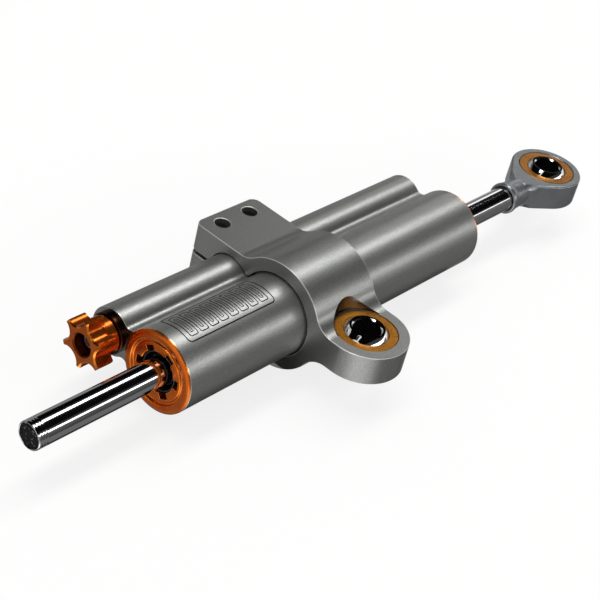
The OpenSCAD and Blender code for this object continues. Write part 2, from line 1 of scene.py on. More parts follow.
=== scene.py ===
# %% [markdown]
# # A motorcycle steering damper
# The real thing is a hydraulic damper whose rod runs right through a twin tube body. The CAD model says
# where every solid is and how it moves. Here each piece that shows is modelled again, with the
# small broken edges that catch the light, and given the real one's finish.

# %% Load the CAD model as a fixed frame
import math

import bpy
from mathutils import Matrix, Vector


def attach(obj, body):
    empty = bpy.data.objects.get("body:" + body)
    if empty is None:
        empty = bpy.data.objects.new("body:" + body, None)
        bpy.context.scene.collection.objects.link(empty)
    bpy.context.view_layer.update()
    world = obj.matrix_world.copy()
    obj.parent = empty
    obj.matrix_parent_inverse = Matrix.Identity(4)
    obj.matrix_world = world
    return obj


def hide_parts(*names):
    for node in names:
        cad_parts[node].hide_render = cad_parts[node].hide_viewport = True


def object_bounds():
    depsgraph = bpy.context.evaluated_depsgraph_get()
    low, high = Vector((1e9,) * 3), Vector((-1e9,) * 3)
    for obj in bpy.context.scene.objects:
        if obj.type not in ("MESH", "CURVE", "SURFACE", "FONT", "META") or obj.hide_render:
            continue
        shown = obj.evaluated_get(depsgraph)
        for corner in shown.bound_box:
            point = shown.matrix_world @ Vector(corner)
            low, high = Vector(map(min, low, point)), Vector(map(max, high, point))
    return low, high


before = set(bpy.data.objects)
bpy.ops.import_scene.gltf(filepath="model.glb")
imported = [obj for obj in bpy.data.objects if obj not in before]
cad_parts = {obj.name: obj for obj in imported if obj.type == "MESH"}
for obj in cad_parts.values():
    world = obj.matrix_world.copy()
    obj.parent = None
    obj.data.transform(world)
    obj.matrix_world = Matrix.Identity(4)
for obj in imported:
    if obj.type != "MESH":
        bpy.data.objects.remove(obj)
MM = 0.001


def box_as_lists():
    return [[float(c) for c in corner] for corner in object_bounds()]


cad_box = box_as_lists()
print("CAD box in mm:", [[round(c / MM, 1) for c in corner] for corner in cad_box])

# %% [markdown]
# ## The camera
# A long lens looks down along the damper from its free rod end, a little rolled. Its place and
# directions were solved from the perspective of the tubes, bearings and rod, so nothing is set by eye.

# %% Place the camera
CAMERA_AT = Vector((-382.7, -219.7, 322.6)) * MM
CAMERA_RIGHT = Vector((0.6522, -0.7282, 0.2105))
CAMERA_UP = Vector((0.3270, 0.5208, 0.7885))
CAMERA_LENS = 94.88

camera_data = bpy.data.cameras.new("camera")
camera_data.sensor_width = 36
camera_data.lens = CAMERA_LENS
camera_data.clip_start = 0.01
camera = bpy.data.objects.new("camera", camera_data)
bpy.context.scene.collection.objects.link(camera)
camera_back = CAMERA_RIGHT.cross(CAMERA_UP).normalized()
camera_up = camera_back.cross(CAMERA_RIGHT).normalized()
camera_turn = Matrix((CAMERA_RIGHT.normalized(), camera_up, camera_back)).transposed()
camera.matrix_world = Matrix.Translation(CAMERA_AT) @ camera_turn.to_4x4()
bpy.context.scene.camera = camera
bpy.context.scene.view_settings.view_transform = "Standard"
print("the camera stands", round(CAMERA_AT.length, 2), "m from the clamp's bearing")

# %% [markdown]
# ## Finishes
# Bare shapes look like plastic until each surface has its own finish. One function turns a written
# colour into the linear value that Blender mixes, and one adds a node. The finishes are built from
# those, with pattern sizes in millimetres. A grain that is finer than the picture can show, such as
# bead blasting at a tenth of a millimetre, is drawn a little coarser so that it still breaks the light.


# %% Colours and nodes
def linear(hex_colour):
    """A written sRGB colour as linear values."""
    parts = [int(hex_colour[i : i + 2], 16) / 255 for i in (1, 3, 5)]
    return [c / 12.92 if c <= 0.04045 else ((c + 0.055) / 1.055) ** 2.4 for c in parts] + [1.0]


def add_node(tree, kind, inputs=None, **settings):
    """Adds one node. An input is a value, or the output of a node that is there already."""
    made = tree.nodes.new("ShaderNode" + kind)
    for key, value in settings.items():
        setattr(made, key, value)
    for key, value in (inputs or {}).items():
        if isinstance(value, bpy.types.NodeSocket):
            tree.links.new(value, made.inputs[key])
        else:
            made.inputs[key].default_value = value
    return made


def new_finish(name):
    finish = bpy.data.materials.new(name)
    finish.use_nodes = True
    finish.node_tree.nodes.clear()
    return finish


# %% A metal with a mottled colour, a fine grain, and turning marks if it comes from a lathe
METAL_GRAIN_DEPTH, DULL_GRAIN_DEPTH, TURNED_DEPTH = 0.3, 0.5, 0.1    # as shares of the pattern's size
WAVE_LENGTH = 0.314    # A wave texture of scale 1 repeats after this length.


def metal_finish(name, light, dark, rough, grain_mm, grain=0.15, spread=0.06, metallic=1.0,
                 axis=None, feed_mm=0.5, turning=0.0, patch_mm=6.0):
    """Two colours in patches, a roughness, and a grain with its size and strength."""
    finish = new_finish(name)
    tree = finish.node_tree
    place = add_node(tree, "TexCoord").outputs["Object"]
    patches = add_node(tree, "TexNoise", {"Vector": place, "Scale": 1 / (patch_mm * MM), "Detail": 4.0})
    grains = add_node(tree, "TexNoise", {"Vector": place, "Scale": 1 / (grain_mm * MM), "Detail": 2.0})
    mottled = add_node(tree, "ValToRGB", {"Fac": patches.outputs["Fac"]})
    mottled.color_ramp.elements[0].position = 0.35
    mottled.color_ramp.elements[0].color = linear(dark)
    mottled.color_ramp.elements[1].position = 0.65
    mottled.color_ramp.elements[1].color = linear(light)
    roughness = add_node(tree, "MapRange", {"Value": grains.outputs["Fac"],
                                            "From Min": 0.3, "From Max": 0.7,
                                            "To Min": rough - spread, "To Max": rough + spread})
    height = add_node(tree, "Bump", {"Height": grains.outputs["Fac"], "Strength": grain,
                                     "Distance": grain_mm * MM * METAL_GRAIN_DEPTH})
    if axis:
        centred = add_node(tree, "Mapping", {"Vector": place, "Location": [-c * MM for c in axis]})
        rings = add_node(tree, "TexWave", {"Vector": centred.outputs["Vector"],
                                           "Scale": WAVE_LENGTH / (feed_mm * MM),
                                           "Distortion": 0.6, "Detail": 2.0, "Detail Scale": 3.0},
                         wave_type="RINGS", rings_direction="X")
        height = add_node(tree, "Bump", {"Height": rings.outputs["Fac"], "Strength": turning,
                                         "Distance": feed_mm * MM * TURNED_DEPTH,
                                         "Normal": height.outputs["Normal"]})
    shader = add_node(tree, "BsdfPrincipled", {"Base Color": mottled.outputs["Color"],
                                               "Metallic": metallic,
                                               "Roughness": roughness.outputs["Result"],
                                               "Normal": height.outputs["Normal"]})
    add_node(tree, "OutputMaterial", {"Surface": shader.outputs["BSDF"]})
    return finish


# %% [markdown]
# Aluminium shows three ways here. The body and the clamp are bead blasted and clear anodised, which
# leaves a soft grey with a fine sparkle. Their edges were cut after blasting to bare metal, and their
# brighter edge finish is partly that bare metal and partly a painted highlight line. The caps and the
# knob are turned or milled and dyed orange, a clear dye over bright metal, so the colour deepens where
# the surface turns away from the light; their bright orange edges are a painted highlight. The flange
# behind the knob is a dark brown, a painted reflection of the orange knob, and the seal heads and the
# plug are black. An anodised layer is glassy and not metal, and a metallic value a little under 1
# stands for it.

# %% The aluminium finishes
MAIN_AXIS = (0.0, 28.9, 0.0)
blasted_body = metal_finish("aluminium_bead_blasted_grey", "#aaaba8", "#999a97", 0.385, 0.4, 0.2,
                            metallic=0.92, patch_mm=0.5)
blasted_clamp = metal_finish("aluminium_bead_blasted_dark", "#9e9f9c", "#8e8f8c", 0.37, 0.4, 0.2,
                             metallic=0.92, patch_mm=0.5)
# The edge finishes are brighter than the faces: partly bare cut metal, partly a painted highlight line.
bare_edge_and_painted_highlight = metal_finish("aluminium_cut_edge", "#dcdcd8", "#d0d0cc", 0.25, 0.3, 0.1)
clamp_bare_edge_and_painted_highlight = metal_finish("aluminium_clamp_edge", "#cacac6", "#bebeba", 0.35, 0.3, 0.2,
                          metallic=0.6)
faced = metal_finish("aluminium_faced_smooth", "#a0a09d", "#949491", 0.16, 0.3, 0.05)
# The dark grey on the engraving's walls and floor is painted shade in the grooves.
groove_painted_shade = metal_finish("aluminium_engraved_painted_shade", "#454543", "#3a3a38", 0.5, 0.3, 0.2)
orange_cap = metal_finish("aluminium_turned_orange", "#d2661e", "#c15a17", 0.24, 0.3, 0.05,
                          metallic=0.9, axis=MAIN_AXIS, turning=0.3)
orange_knob = metal_finish("aluminium_milled_orange", "#cb6520", "#ba5818", 0.2, 0.3, 0.08,
                           metallic=0.88)
# The bright orange on the caps' and the knob's edges is a painted highlight.
orange_edge_painted_highlight = metal_finish("aluminium_orange_edge", "#ff9a3c", "#f58a28", 0.2, 0.3, 0.05)
# The darker orange on the knob's recess walls is painted shade in the recess.
orange_painted_recess_shade = metal_finish("aluminium_orange_painted_recess_shade", "#7c360c", "#6a2c08", 0.35, 0.3, 0.1)
# The housing's dark brown is a painted reflection of the orange knob.
brown_painted_knob_reflection = metal_finish("aluminium_anodised_dark_bronze", "#46291a", "#3a2114", 0.22, 0.3, 0.1)
black_anodised = metal_finish("aluminium_anodised_black", "#19191b", "#131315", 0.3, 0.3, 0.15)
print("aluminium finishes:", [f.name for f in (blasted_body, blasted_clamp, orange_cap, brown_painted_knob_reflection)])

# %% [markdown]
# Steel shows as hard chrome on the rod, polished bearing steel, zinc plating on the rod end and black
# oxide on the screws. The races are sintered bronze, which is porous and speckled.

# %% The steel and bronze finishes
hard_chrome = metal_finish("steel_hard_chrome", "#c9c9cb", "#c5c5c7", 0.09, 0.6, 0.0, spread=0.01)
bearing_steel = metal_finish("steel_polished_bearing", "#dededf", "#d8d8da", 0.05, 0.5, 0.005,
                             spread=0.02)
zinc_steel = metal_finish("steel_zinc_plated_satin", "#909395", "#868a8c", 0.34, 0.5, 0.3,
                          metallic=0.85)
plain_steel = metal_finish("steel_turned_plain", "#b0b2b5", "#a2a4a8", 0.3, 0.3, 0.1)
black_steel = metal_finish("steel_black_oxide", "#303134", "#26272a", 0.4, 0.3, 0.2)
bronze = metal_finish("bronze_sintered", "#bd7e2b", "#ad6f20", 0.34, 0.35, 0.45, spread=0.1)
print("steel and bronze finishes:", [f.name for f in (hard_chrome, bearing_steel, zinc_steel, bronze)])

# %% [markdown]
# Rubber and moulded plastic aren't metals: light goes into them and comes back a little dull. The
# insert in the rod's tip is a granular plastic, so it gets small pits and pale specks.


# %% Rubber, plastic and the granular insert
def dull_finish(name, colour, rough, grain_mm, grain, specks=None, specular=0.5):
    """One colour, a roughness, and a grain with its size and strength. Specks have their own colour."""
    finish = new_finish(name)
    tree = finish.node_tree
    place = add_node(tree, "TexCoord").outputs["Object"]
    grains = add_node(tree, "TexVoronoi", {"Vector": place, "Scale": 1 / (grain_mm * MM)})
    speckled = add_node(tree, "ValToRGB", {"Fac": grains.outputs["Color"]})
    speckled.color_ramp.elements[0].position = 0.82
    speckled.color_ramp.elements[0].color = linear(colour)
    speckled.color_ramp.elements[1].color = linear(specks or colour)
    roughness = add_node(tree, "MapRange", {"Value": grains.outputs["Distance"], "To Min": rough - 0.1,
                                            "To Max": rough + 0.1})
    bump = add_node(tree, "Bump", {"Height": grains.outputs["Distance"], "Strength": grain,
                                   "Distance": grain_mm * MM * DULL_GRAIN_DEPTH})
    shader = add_node(tree, "BsdfPrincipled", {"Base Color": speckled.outputs["Color"],
                                               "Roughness": roughness.outputs["Result"],
                                               "Specular IOR Level": specular,
                                               "Normal": bump.outputs["Normal"]})
    add_node(tree, "OutputMaterial", {"Surface": shader.outputs["BSDF"]})
    return finish


rubber = dull_finish("rubber_moulded_black", "#141414", 0.25, 0.3, 0.05)
black_plastic = dull_finish("plastic_moulded_black", "#161616", 0.45, 0.4, 0.1)
granular = dull_finish("plastic_granular_insert", "#060606", 0.55, 0.5, 1.0, specks="#a8a8aa",
                       specular=0.15)
ptfe = dull_finish("ptfe_bronze_filled", "#4f4634", 0.5, 0.3, 0.1)
print("dull finishes:", [f.name for f in (rubber, black_plastic, granular, ptfe)])

# %% [markdown]
# ## Small helpers
# Most pieces of a damper are turned on a lathe, and the rest are cut from an extruded bar. Both start
# from an outline, so the first helper is a pen: one point that is extruded along lines and spun round
# arcs. The lathe spins a closed outline all the way round, and the saw extrudes one to its length.


# %% Select nothing, or one piece
def select_nothing():
    if bpy.context.mode != "OBJECT":
        bpy.ops.object.mode_set(mode="OBJECT")
    bpy.ops.object.select_all(action="DESELECT")


def select_only(piece):
    select_nothing()
    piece.select_set(True)
    bpy.context.view_layer.objects.active = piece


# %% A point on a circle, and the direction from one point to another
def on_circle(centre, radius, degrees):
    turn = math.radians(degrees)
    return (centre[0] + radius * math.cos(turn), centre[1] + radius * math.sin(turn))


def heading(a, b):
    return math.degrees(math.atan2(b[1] - a[1], b[0] - a[0]))


# %% A pen that draws with extrude and spin
MEET = 0.02    # The ends of an outline are one point when they are nearer than this.


class Pen:
    """Draws in a plane, in millimetres: YZ across the tubes, XY from above, or XZ along an axis."""

    NORMAL = {"YZ": (1, 0, 0), "XY": (0, 0, 1), "XZ": (0, -1, 0)}

    def __init__(self, name, plane, level, start):
        self.plane, self.level, self.at, self.start = plane, level, start, start
        select_nothing()
        bpy.ops.mesh.primitive_plane_add(size=MM, location=self.place(start))
        self.piece = bpy.context.object
        self.piece.name = self.piece.data.name = name
        bpy.ops.object.transform_apply(location=True, rotation=True, scale=True)
        bpy.ops.object.mode_set(mode="EDIT")
        bpy.ops.mesh.select_all(action="SELECT")
        bpy.ops.mesh.merge(type="CENTER")

    def place(self, p):
        u, v, w = p[0] * MM, p[1] * MM, self.level * MM
        return {"YZ": (w, u, v), "XY": (u, v, w), "XZ": (u, w, v)}[self.plane]

    def line(self, *points):
        for p in points:
            step = Vector(self.place(p)) - Vector(self.place(self.at))
            bpy.ops.mesh.extrude_region_move(TRANSFORM_OT_translate={"value": step})
            self.at = p
        return self

    def arc(self, centre, sweep, step=3.0):
        # The spin operator turns clockwise for a positive angle, so the sweep changes sign.
        bpy.ops.mesh.spin(steps=max(2, math.ceil(abs(sweep) / step)), angle=-math.radians(sweep),
                          center=self.place(centre), axis=self.NORMAL[self.plane])
        self.at = on_circle(centre, math.dist(self.at, centre), heading(centre, self.at) + sweep)
        return self

    def close(self):
        """Joins the end to the start, and leaves everything selected."""
        if math.dist(self.at, self.start) > MEET:
            self.line(self.start)
        bpy.ops.mesh.select_all(action="SELECT")
        bpy.ops.mesh.remove_doubles(threshold=MEET * MM)
        bpy.ops.mesh.select_all(action="SELECT")
        return self


# %% Close a mesh, and say what was made
WELD = 0.004    # Points of a mesh are one point when they are nearer than this.


def finish_mesh(piece):
    if bpy.context.mode != "EDIT_MESH":
        select_only(piece)
        bpy.ops.object.mode_set(mode="EDIT")
    bpy.ops.mesh.select_all(action="SELECT")
    bpy.ops.mesh.remove_doubles(threshold=WELD * MM)
    bpy.ops.mesh.select_all(action="SELECT")
    bpy.ops.mesh.normals_make_consistent(inside=False)
    bpy.ops.object.mode_set(mode="OBJECT")
    return piece


def settle(piece, at, turn):
    """Moves and turns the mesh itself, about X, so that the object stays at the origin."""
    piece.rotation_euler = (math.radians(turn), 0, 0)
    piece.location = [c * MM for c in at]
    select_only(piece)
    bpy.ops.object.transform_apply(location=True, rotation=True, scale=True)


def tell(piece):
    size = [round(s / MM, 1) for s in piece.dimensions]
    print(f"{piece.name}: {len(piece.data.polygons)} faces, {size} mm")


# %% The saw and the lathe
def sawn(pen, length):
    """Fills the pen's outline and extrudes it along the plane's normal."""
    pen.close()
    bpy.ops.mesh.edge_face_add()
    along = Vector({"YZ": (1, 0, 0), "XY": (0, 0, 1), "XZ": (0, 1, 0)}[pen.plane])
    bpy.ops.mesh.extrude_region_move(TRANSFORM_OT_translate={"value": along * length * MM})
    return finish_mesh(pen.piece)


def turned(name, outline, centre, axis="X", steps=120, start=0):
    """Spins an outline of (along, radius) points about an axis along X or Z. Along is from start."""
    if axis == "X":
        points = [(start + along, centre[1] + radius) for along, radius in outline]
        pen = Pen(name, "XZ", centre[0], points[0])
        middle, spin_axis = (0, centre[0] * MM, centre[1] * MM), (1, 0, 0)
    else:
        points = [(centre[0] + radius, start + along) for along, radius in outline]
        pen = Pen(name, "XZ", centre[1], points[0])
        middle, spin_axis = (centre[0] * MM, centre[1] * MM, 0), (0, 0, 1)
    pen.line(*points[1:]).close()
    bpy.ops.mesh.spin(steps=steps, angle=math.tau, center=middle, axis=spin_axis)
    return finish_mesh(pen.piece)


# %% Modifiers that are applied at once
def apply_modifier(piece, kind, **settings):
    select_only(piece)
    modifier = piece.modifiers.new(kind, kind)
    for key, value in settings.items():
        setattr(modifier, key, value)
    bpy.ops.object.modifier_apply(modifier=modifier.name)


def cut(piece, tool, operation="DIFFERENCE", finish=None):
    """A boolean. With a finish, the walls that the tool cuts get that finish."""
    tool.data.materials.clear()
    if finish:
        tool.data.materials.append(finish)
    apply_modifier(piece, "BOOLEAN", object=tool, operation=operation, solver="EXACT",
                   material_mode="TRANSFER" if finish else "INDEX")
    bpy.data.objects.remove(tool)
    return finish_mesh(piece)


def drill(piece, at, direction, radius, length, sides=64, finish=None):
    """Cuts a round hole, or a hexagon with six sides, centred on a place."""
    select_nothing()
    turn = Vector(direction).to_track_quat("Z", "Y").to_euler()
    bpy.ops.mesh.primitive_cylinder_add(vertices=sides, radius=radius * MM, depth=length * MM,
                                        location=[c * MM for c in at], rotation=turn)
    return cut(piece, bpy.context.object, finish=finish)


# %% Finishes, broken edges and shading
def dress(piece, *finishes):
    select_only(piece)
    piece.data.materials.clear()
    for finish in finishes:
        piece.data.materials.append(finish)


def break_edges(piece, width, finish, edge=None, angle=35, segments=2):
    """Gives a piece its finish and breaks its sharp edges; a brighter edge finish paints a highlight on
    them.
    """
    dress(piece, finish, edge or finish)
    bpy.ops.object.shade_smooth()
    apply_modifier(piece, "BEVEL", width=width * MM, segments=segments, limit_method="ANGLE",
                   angle_limit=math.radians(angle), harden_normals=True, use_clamp_overlap=False,
                   miter_outer="MITER_ARC", material=1)
    return piece


def smooth(piece, finish, angle=30):
    dress(piece, finish)
    bpy.ops.object.shade_smooth_by_angle(angle=math.radians(angle))
    return piece


def even_shading(piece, angle=30):
    """Shades a cut piece afresh, smooth over small turns, with flat faces flat beside round edges."""
    select_only(piece)
    bpy.ops.mesh.customdata_custom_splitnormals_clear()
    bpy.ops.object.shade_smooth_by_angle(angle=math.radians(angle))
    apply_modifier(piece, "WEIGHTED_NORMAL", keep_sharp=True)
    return piece


# %% Copy a piece to the rear, and put one in the place of a CAD solid
def at_rear(piece, name):
    """The same piece at the other end of the body, as a copy with its own mesh."""
    select_only(piece)
    bpy.ops.object.duplicate()
    copy = bpy.context.object
    copy.name = copy.data.name = name
    bpy.ops.object.mode_set(mode="EDIT")
    bpy.ops.mesh.select_all(action="SELECT")
    bpy.ops.transform.mirror(constraint_axis=(True, False, False), orient_type="GLOBAL",
                             center_override=(MIDDLE_X * MM, 0, 0))
    return finish_mesh(copy)


def stands_for(piece, node, body):
    """The piece rides on a CAD body, in place of a CAD solid, which is hidden."""
    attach(piece, body)
    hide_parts(node)
    tell(piece)


# %% [markdown]
# ## Where things are
# These sizes are the CAD file's, in millimetres. Both tubes lie along X, Z points up along the clamp
# bearing's bore, and the origin is in the middle of that bearing. An axis is written as its Y and Z.

# %% Main places
FRONT_X, BACK_X = -71.3, 86.2
MIDDLE_X, BODY_LENGTH = (FRONT_X + BACK_X) / 2, BACK_X - FRONT_X
MAIN, SIDE = (28.9, 0.0), (51.6, 1.05)
TUBE_R, SIDE_R, VALLEY_R, ROD_R = 15.0, 8.9, 3.0, 5.0
EYE = (155.4, 28.9)
print("the body runs from", FRONT_X, "to", BACK_X, "mm, and the rod end's bearing is at", EYE[0])

# %% [markdown]
# ## The twin tube body
# The real body is one aluminium extrusion: a large tube for the piston, a small one beside it for the
# adjuster, and a soft valley between them. Two cylinders stuck together would leave a hard crease
# there. So its outline is drawn as four arcs that touch, and sawn to length.


# %% Outline of the body
def crossing(a, a_radius, b, b_radius, up):
    """Where two circles cross, on the upper or lower side of the line between them."""
    a, b = Vector(a), Vector(b)
    apart = (b - a).length
    toward = (b - a) / apart
    along = (apart**2 + a_radius**2 - b_radius**2) / (2 * apart)
    aside = up * math.sqrt(a_radius**2 - along**2)
    return tuple(a + toward * along + Vector((-toward.y, toward.x)) * aside)


VALLEY_TOP = crossing(MAIN, TUBE_R + VALLEY_R, SIDE, SIDE_R + VALLEY_R, 1)
VALLEY_LOW = crossing(MAIN, TUBE_R + VALLEY_R, SIDE, SIDE_R + VALLEY_R, -1)
MAIN_TOP, MAIN_LOW = heading(MAIN, VALLEY_TOP), heading(MAIN, VALLEY_LOW)
SIDE_TOP, SIDE_LOW = heading(SIDE, VALLEY_TOP), heading(SIDE, VALLEY_LOW)

outline = Pen("body_tubes", "YZ", FRONT_X, on_circle(MAIN, TUBE_R, MAIN_TOP))
outline.arc(MAIN, (MAIN_LOW - MAIN_TOP) % 360)
outline.arc(VALLEY_LOW, -((MAIN_LOW - SIDE_LOW) % 360), step=6)
outline.arc(SIDE, (SIDE_TOP - SIDE_LOW) % 360)
outline.arc(VALLEY_TOP, -((SIDE_TOP - MAIN_TOP) % 360), step=6)
body = sawn(outline, BODY_LENGTH)
tell(body)

# %% [markdown]
# The bores step down inside, as in the CAD file: threads for the caps at both ends of the main bore,
# and rooms for the adjuster and the reservoir in the side bore. Each cutter is turned as one profile.

# %% Bore the body
PAST = 5.0    # how far a cutter reaches past what it cuts
CAP_THREAD, THREAD_R, BORE = 9.0, 13, 12
ROOM_R, NEEDLE_R, PASSAGE_R = 6, 4, 2.5
main_cutter = turned("main_cutter", [
    (-PAST, 0), (-PAST, THREAD_R), (CAP_THREAD, THREAD_R), (CAP_THREAD, BORE),
    (BODY_LENGTH - CAP_THREAD, BORE), (BODY_LENGTH - CAP_THREAD, THREAD_R),
    (BODY_LENGTH + PAST, THREAD_R), (BODY_LENGTH + PAST, 0)], MAIN, start=FRONT_X)
side_cutter = turned("side_cutter", [
    (-PAST, 0), (-PAST, ROOM_R), (32, ROOM_R), (32, NEEDLE_R), (39, NEEDLE_R), (39, PASSAGE_R),
    (BODY_LENGTH - 33.5, PASSAGE_R), (BODY_LENGTH - 33.5, ROOM_R), (BODY_LENGTH + PAST, ROOM_R),
    (BODY_LENGTH + PAST, 0)], SIDE, steps=72, start=FRONT_X)
cut(body, main_cutter)
cut(body, side_cutter)
PORTS = ((FRONT_X + 30, "front"), (BACK_X - 30, "rear"))
PORT_Y, PORT_Z, PORT_R, PORT_LENGTH = 50.6, 0.525, 1.5, 21.4
PORT_PLUG_Y, PORT_PLUG_R = 58.0, 2.5
for port_x, end in PORTS:
    drill(body, (port_x, PORT_Y, PORT_Z), (0, 1, 0), PORT_R, PORT_LENGTH, sides=32)
    drill(body, (port_x, PORT_PLUG_Y - 0.05 + PAST, PORT_Z), (0, 1, 0), PORT_PLUG_R, 2 * PAST, sides=48)
# The body's broken edges get the brighter edge finish, partly a painted highlight line.
break_edges(body, 0.2, blasted_body, bare_edge_and_painted_highlight)
body.data.materials.append(faced)
faced_index = len(body.data.materials) - 1
for face in body.data.polygons:
    if not FRONT_X + 0.01 < face.center.x / MM < BACK_X - 0.01:
        face.material_index = faced_index
tell(body)

# %% [markdown]
# The near end of the main tube carries a shallow engraved panel: a rounded frame round a row of plain
# bars. It could be a bump in the finish, but an engraved line has real walls. So the lines are drawn
# flat, inset to a narrow band, raised to a block, hollowed to the depth of the engraving and cut out.
# The cutter carries a darker finish, a painted shade in the grooves, which the boolean leaves on the
# walls and floor that it cuts.


# %% A band round a rounded rectangle
def rounded_frame(name, x1, x2, v1, v2, corner, width):
    """A block of that shape, drawn above the axis through the origin and facing up."""
    pen = Pen(name, "XY", TUBE_R - 3, (x1 + corner, v1))
    for (cx, cy), end in (((x2 - corner, v1 + corner), (x2 - corner, v1)),
                          ((x2 - corner, v2 - corner), (x2, v2 - corner)),
                          ((x1 + corner, v2 - corner), (x1 + corner, v2)),
                          ((x1 + corner, v1 + corner), (x1, v1 + corner))):
        pen.line(end).arc((cx, cy), 90, step=15)
    pen.close()
    bpy.ops.mesh.edge_face_add()
    bpy.ops.mesh.inset(thickness=width * MM)
    bpy.ops.mesh.delete(type="FACE")
    bpy.ops.mesh.select_all(action="SELECT")
    bpy.ops.mesh.extrude_region_move(TRANSFORM_OT_translate={"value": (0, 0, 6 * MM)})
    return finish_mesh(pen.piece)


# %% Engrave the panel
PANEL_X, PANEL_TURN, PANEL_HALF = (-66.0, -24.5), 86.0, 7.3
BARS, BAR_W, BAR_HALF, BAR_MARGIN = 8, 3.9, 5.6, 1.6
SLOT_IN, SLOT_HALF, ENGRAVED = 1.3, 4.2, 0.35
bands = [rounded_frame("panel_frame", *PANEL_X, -PANEL_HALF, PANEL_HALF, 1.8, 0.45)]
bar_pitch = (PANEL_X[1] - PANEL_X[0] - 2 * BAR_MARGIN) / BARS
for k in range(BARS):
    left = PANEL_X[0] + BAR_MARGIN + (k + 0.5) * bar_pitch - BAR_W / 2
    right = left + BAR_W
    bands.append(rounded_frame(f"panel_bar_{k}", left, right, -BAR_HALF, BAR_HALF, 0.9, 0.38))
    bands.append(rounded_frame(f"panel_slot_{k}", left + SLOT_IN, right - SLOT_IN,
                               -SLOT_HALF, SLOT_HALF, 0.5, 0.3))
select_nothing()
for band in bands:
    band.select_set(True)
bpy.context.view_layer.objects.active = bands[0]
bpy.ops.object.join()
panel_cutter = bpy.context.object
core = turned("core", [(-80, 0), (-80, TUBE_R - ENGRAVED), (-10, TUBE_R - ENGRAVED), (-10, 0)],
              (0, 0), steps=180)
cut(panel_cutter, core)
settle(panel_cutter, (0, *MAIN), PANEL_TURN - 90)
# The engraving's walls and floor get the dark painted shade.
cut(body, panel_cutter, finish=groove_painted_shade)
stands_for(body, "cylinder_body", "cylinder")

# %% [markdown]
# ## End caps
# Each cap is turned from bar and screws into the tube: a rounded rim nearly as wide as the tube, a soft
# groove, a sunken land and a mouth with six spanner notches. The profile is turned once, three bars cut
# all six notches, and the second cap is a mirrored copy. Its rim shows as a thin orange line.

# %% Turn a cap and notch it
FLANGE = 1.0
CAP_FACE = FRONT_X - FLANGE
cap = turned("cap_front", [
    (FLANGE, 14.93), (0.7, 14.93), (0.48, 14.72), (0.2, 14.22), (0.05, 13.75), (0, 13.3), (0, 12.1),
    (0.1, 11.9), (0.65, 11.6), (0.95, 11.3), (0.95, 11.0), (0.7, 10.65), (0.4, 10.45), (0.35, 10.3),
    (0.35, 7.65), (0.6, 7.4), (3.2, 7.4), (3.2, 9.9), (FLANGE + 6.9, 9.9), (FLANGE + 6.9, 12.98),
    (FLANGE, 12.98)], MAIN, steps=144, start=CAP_FACE)
SIXTH = 60    # degrees
NOTCH_R, NOTCH_W, NOTCH_TURN = 9.5, 3.4, -2.5
notch_corner = math.degrees(math.atan2(NOTCH_W / 2, NOTCH_R))
notch_reach = math.hypot(NOTCH_R, NOTCH_W / 2)
for k in range(3):
    along = NOTCH_TURN + SIXTH * k
    corners = [on_circle(MAIN, notch_reach, along + a) for a in
               (-notch_corner, notch_corner, 180 - notch_corner, 180 + notch_corner)]
    notch = sawn(Pen("notch", "YZ", CAP_FACE - 1, corners[0]).line(*corners[1:]), 4.6)
    cut(cap, notch)
cap_rear = at_rear(cap, "cap_rear")
for piece in (cap, cap_rear):
    # The caps' broken edges get the bright orange painted highlight.
    break_edges(piece, 0.1, orange_cap, orange_edge_painted_highlight, angle=32)
stands_for(cap, "front_end_cap", "cylinder")
stands_for(cap_rear, "rear_end_cap", "cylinder")

# %% [markdown]
# Behind the mouth sit the black seal head and a rubber wiper, which scrapes dirt off the rod. Only the
# wiper's rim and its thin lip show, as fine grey arcs in the dark, so both are rounded.

# %% Seal heads and wipers
seal_head = turned("seal_head_front", [
    (3.2, 7.85), (3.2, 9.35), (3.45, 9.6), (6.95, 9.6), (6.95, 12.98), (8.95, 12.98), (8.95, 11.98),
    (19, 11.98), (19, 10.59), (21.2, 10.59), (21.2, 11.98), (26, 11.98), (26, 5.3), (25, 5.3), (25, 6),
    (14, 6), (14, 5.3), (12.5, 5.3), (12.5, 7.6), (8.4, 7.6), (8.4, 5.3), (6.8, 5.3), (6.8, 7.6),
    (3.45, 7.6)], MAIN, start=FRONT_X)
wiper = turned("wiper_front", [
    (0.55, 7.36), (3.6, 7.36), (3.8, 7.58), (6.75, 7.58), (6.75, 5.03), (2.15, 5.03), (2.0, 5.12),
    (1.95, 5.28), (2.05, 5.45), (2.5, 5.6), (4.5, 6.2), (4.6, 6.4), (4.4, 6.6), (0.6, 6.72),
    (0.35, 6.82), (0.27, 7.04), (0.35, 7.26)], MAIN, start=FRONT_X)
for piece, node, finish, slot in ((seal_head, "seal_head", black_anodised, "black_aluminium"),
                                  (wiper, "wiper", rubber, "rubber")):
    copy = at_rear(piece, piece.name.replace("front", "rear"))
    stands_for(smooth(piece, finish), "front_" + node, "cylinder")
    stands_for(smooth(copy, finish), "rear_" + node, "cylinder")

# %% [markdown]
# ## The rod
# A hard chromed rod is ground and polished to a mirror, so its shape has to be exact: any flat on it
# would show as a step in the reflections. It is turned in many steps. Near its free tip are three fine
# witness rings, two grooves in its middle hold the circlips of the hidden piston, and a granular insert
# that stands a little below the rim closes the tip.

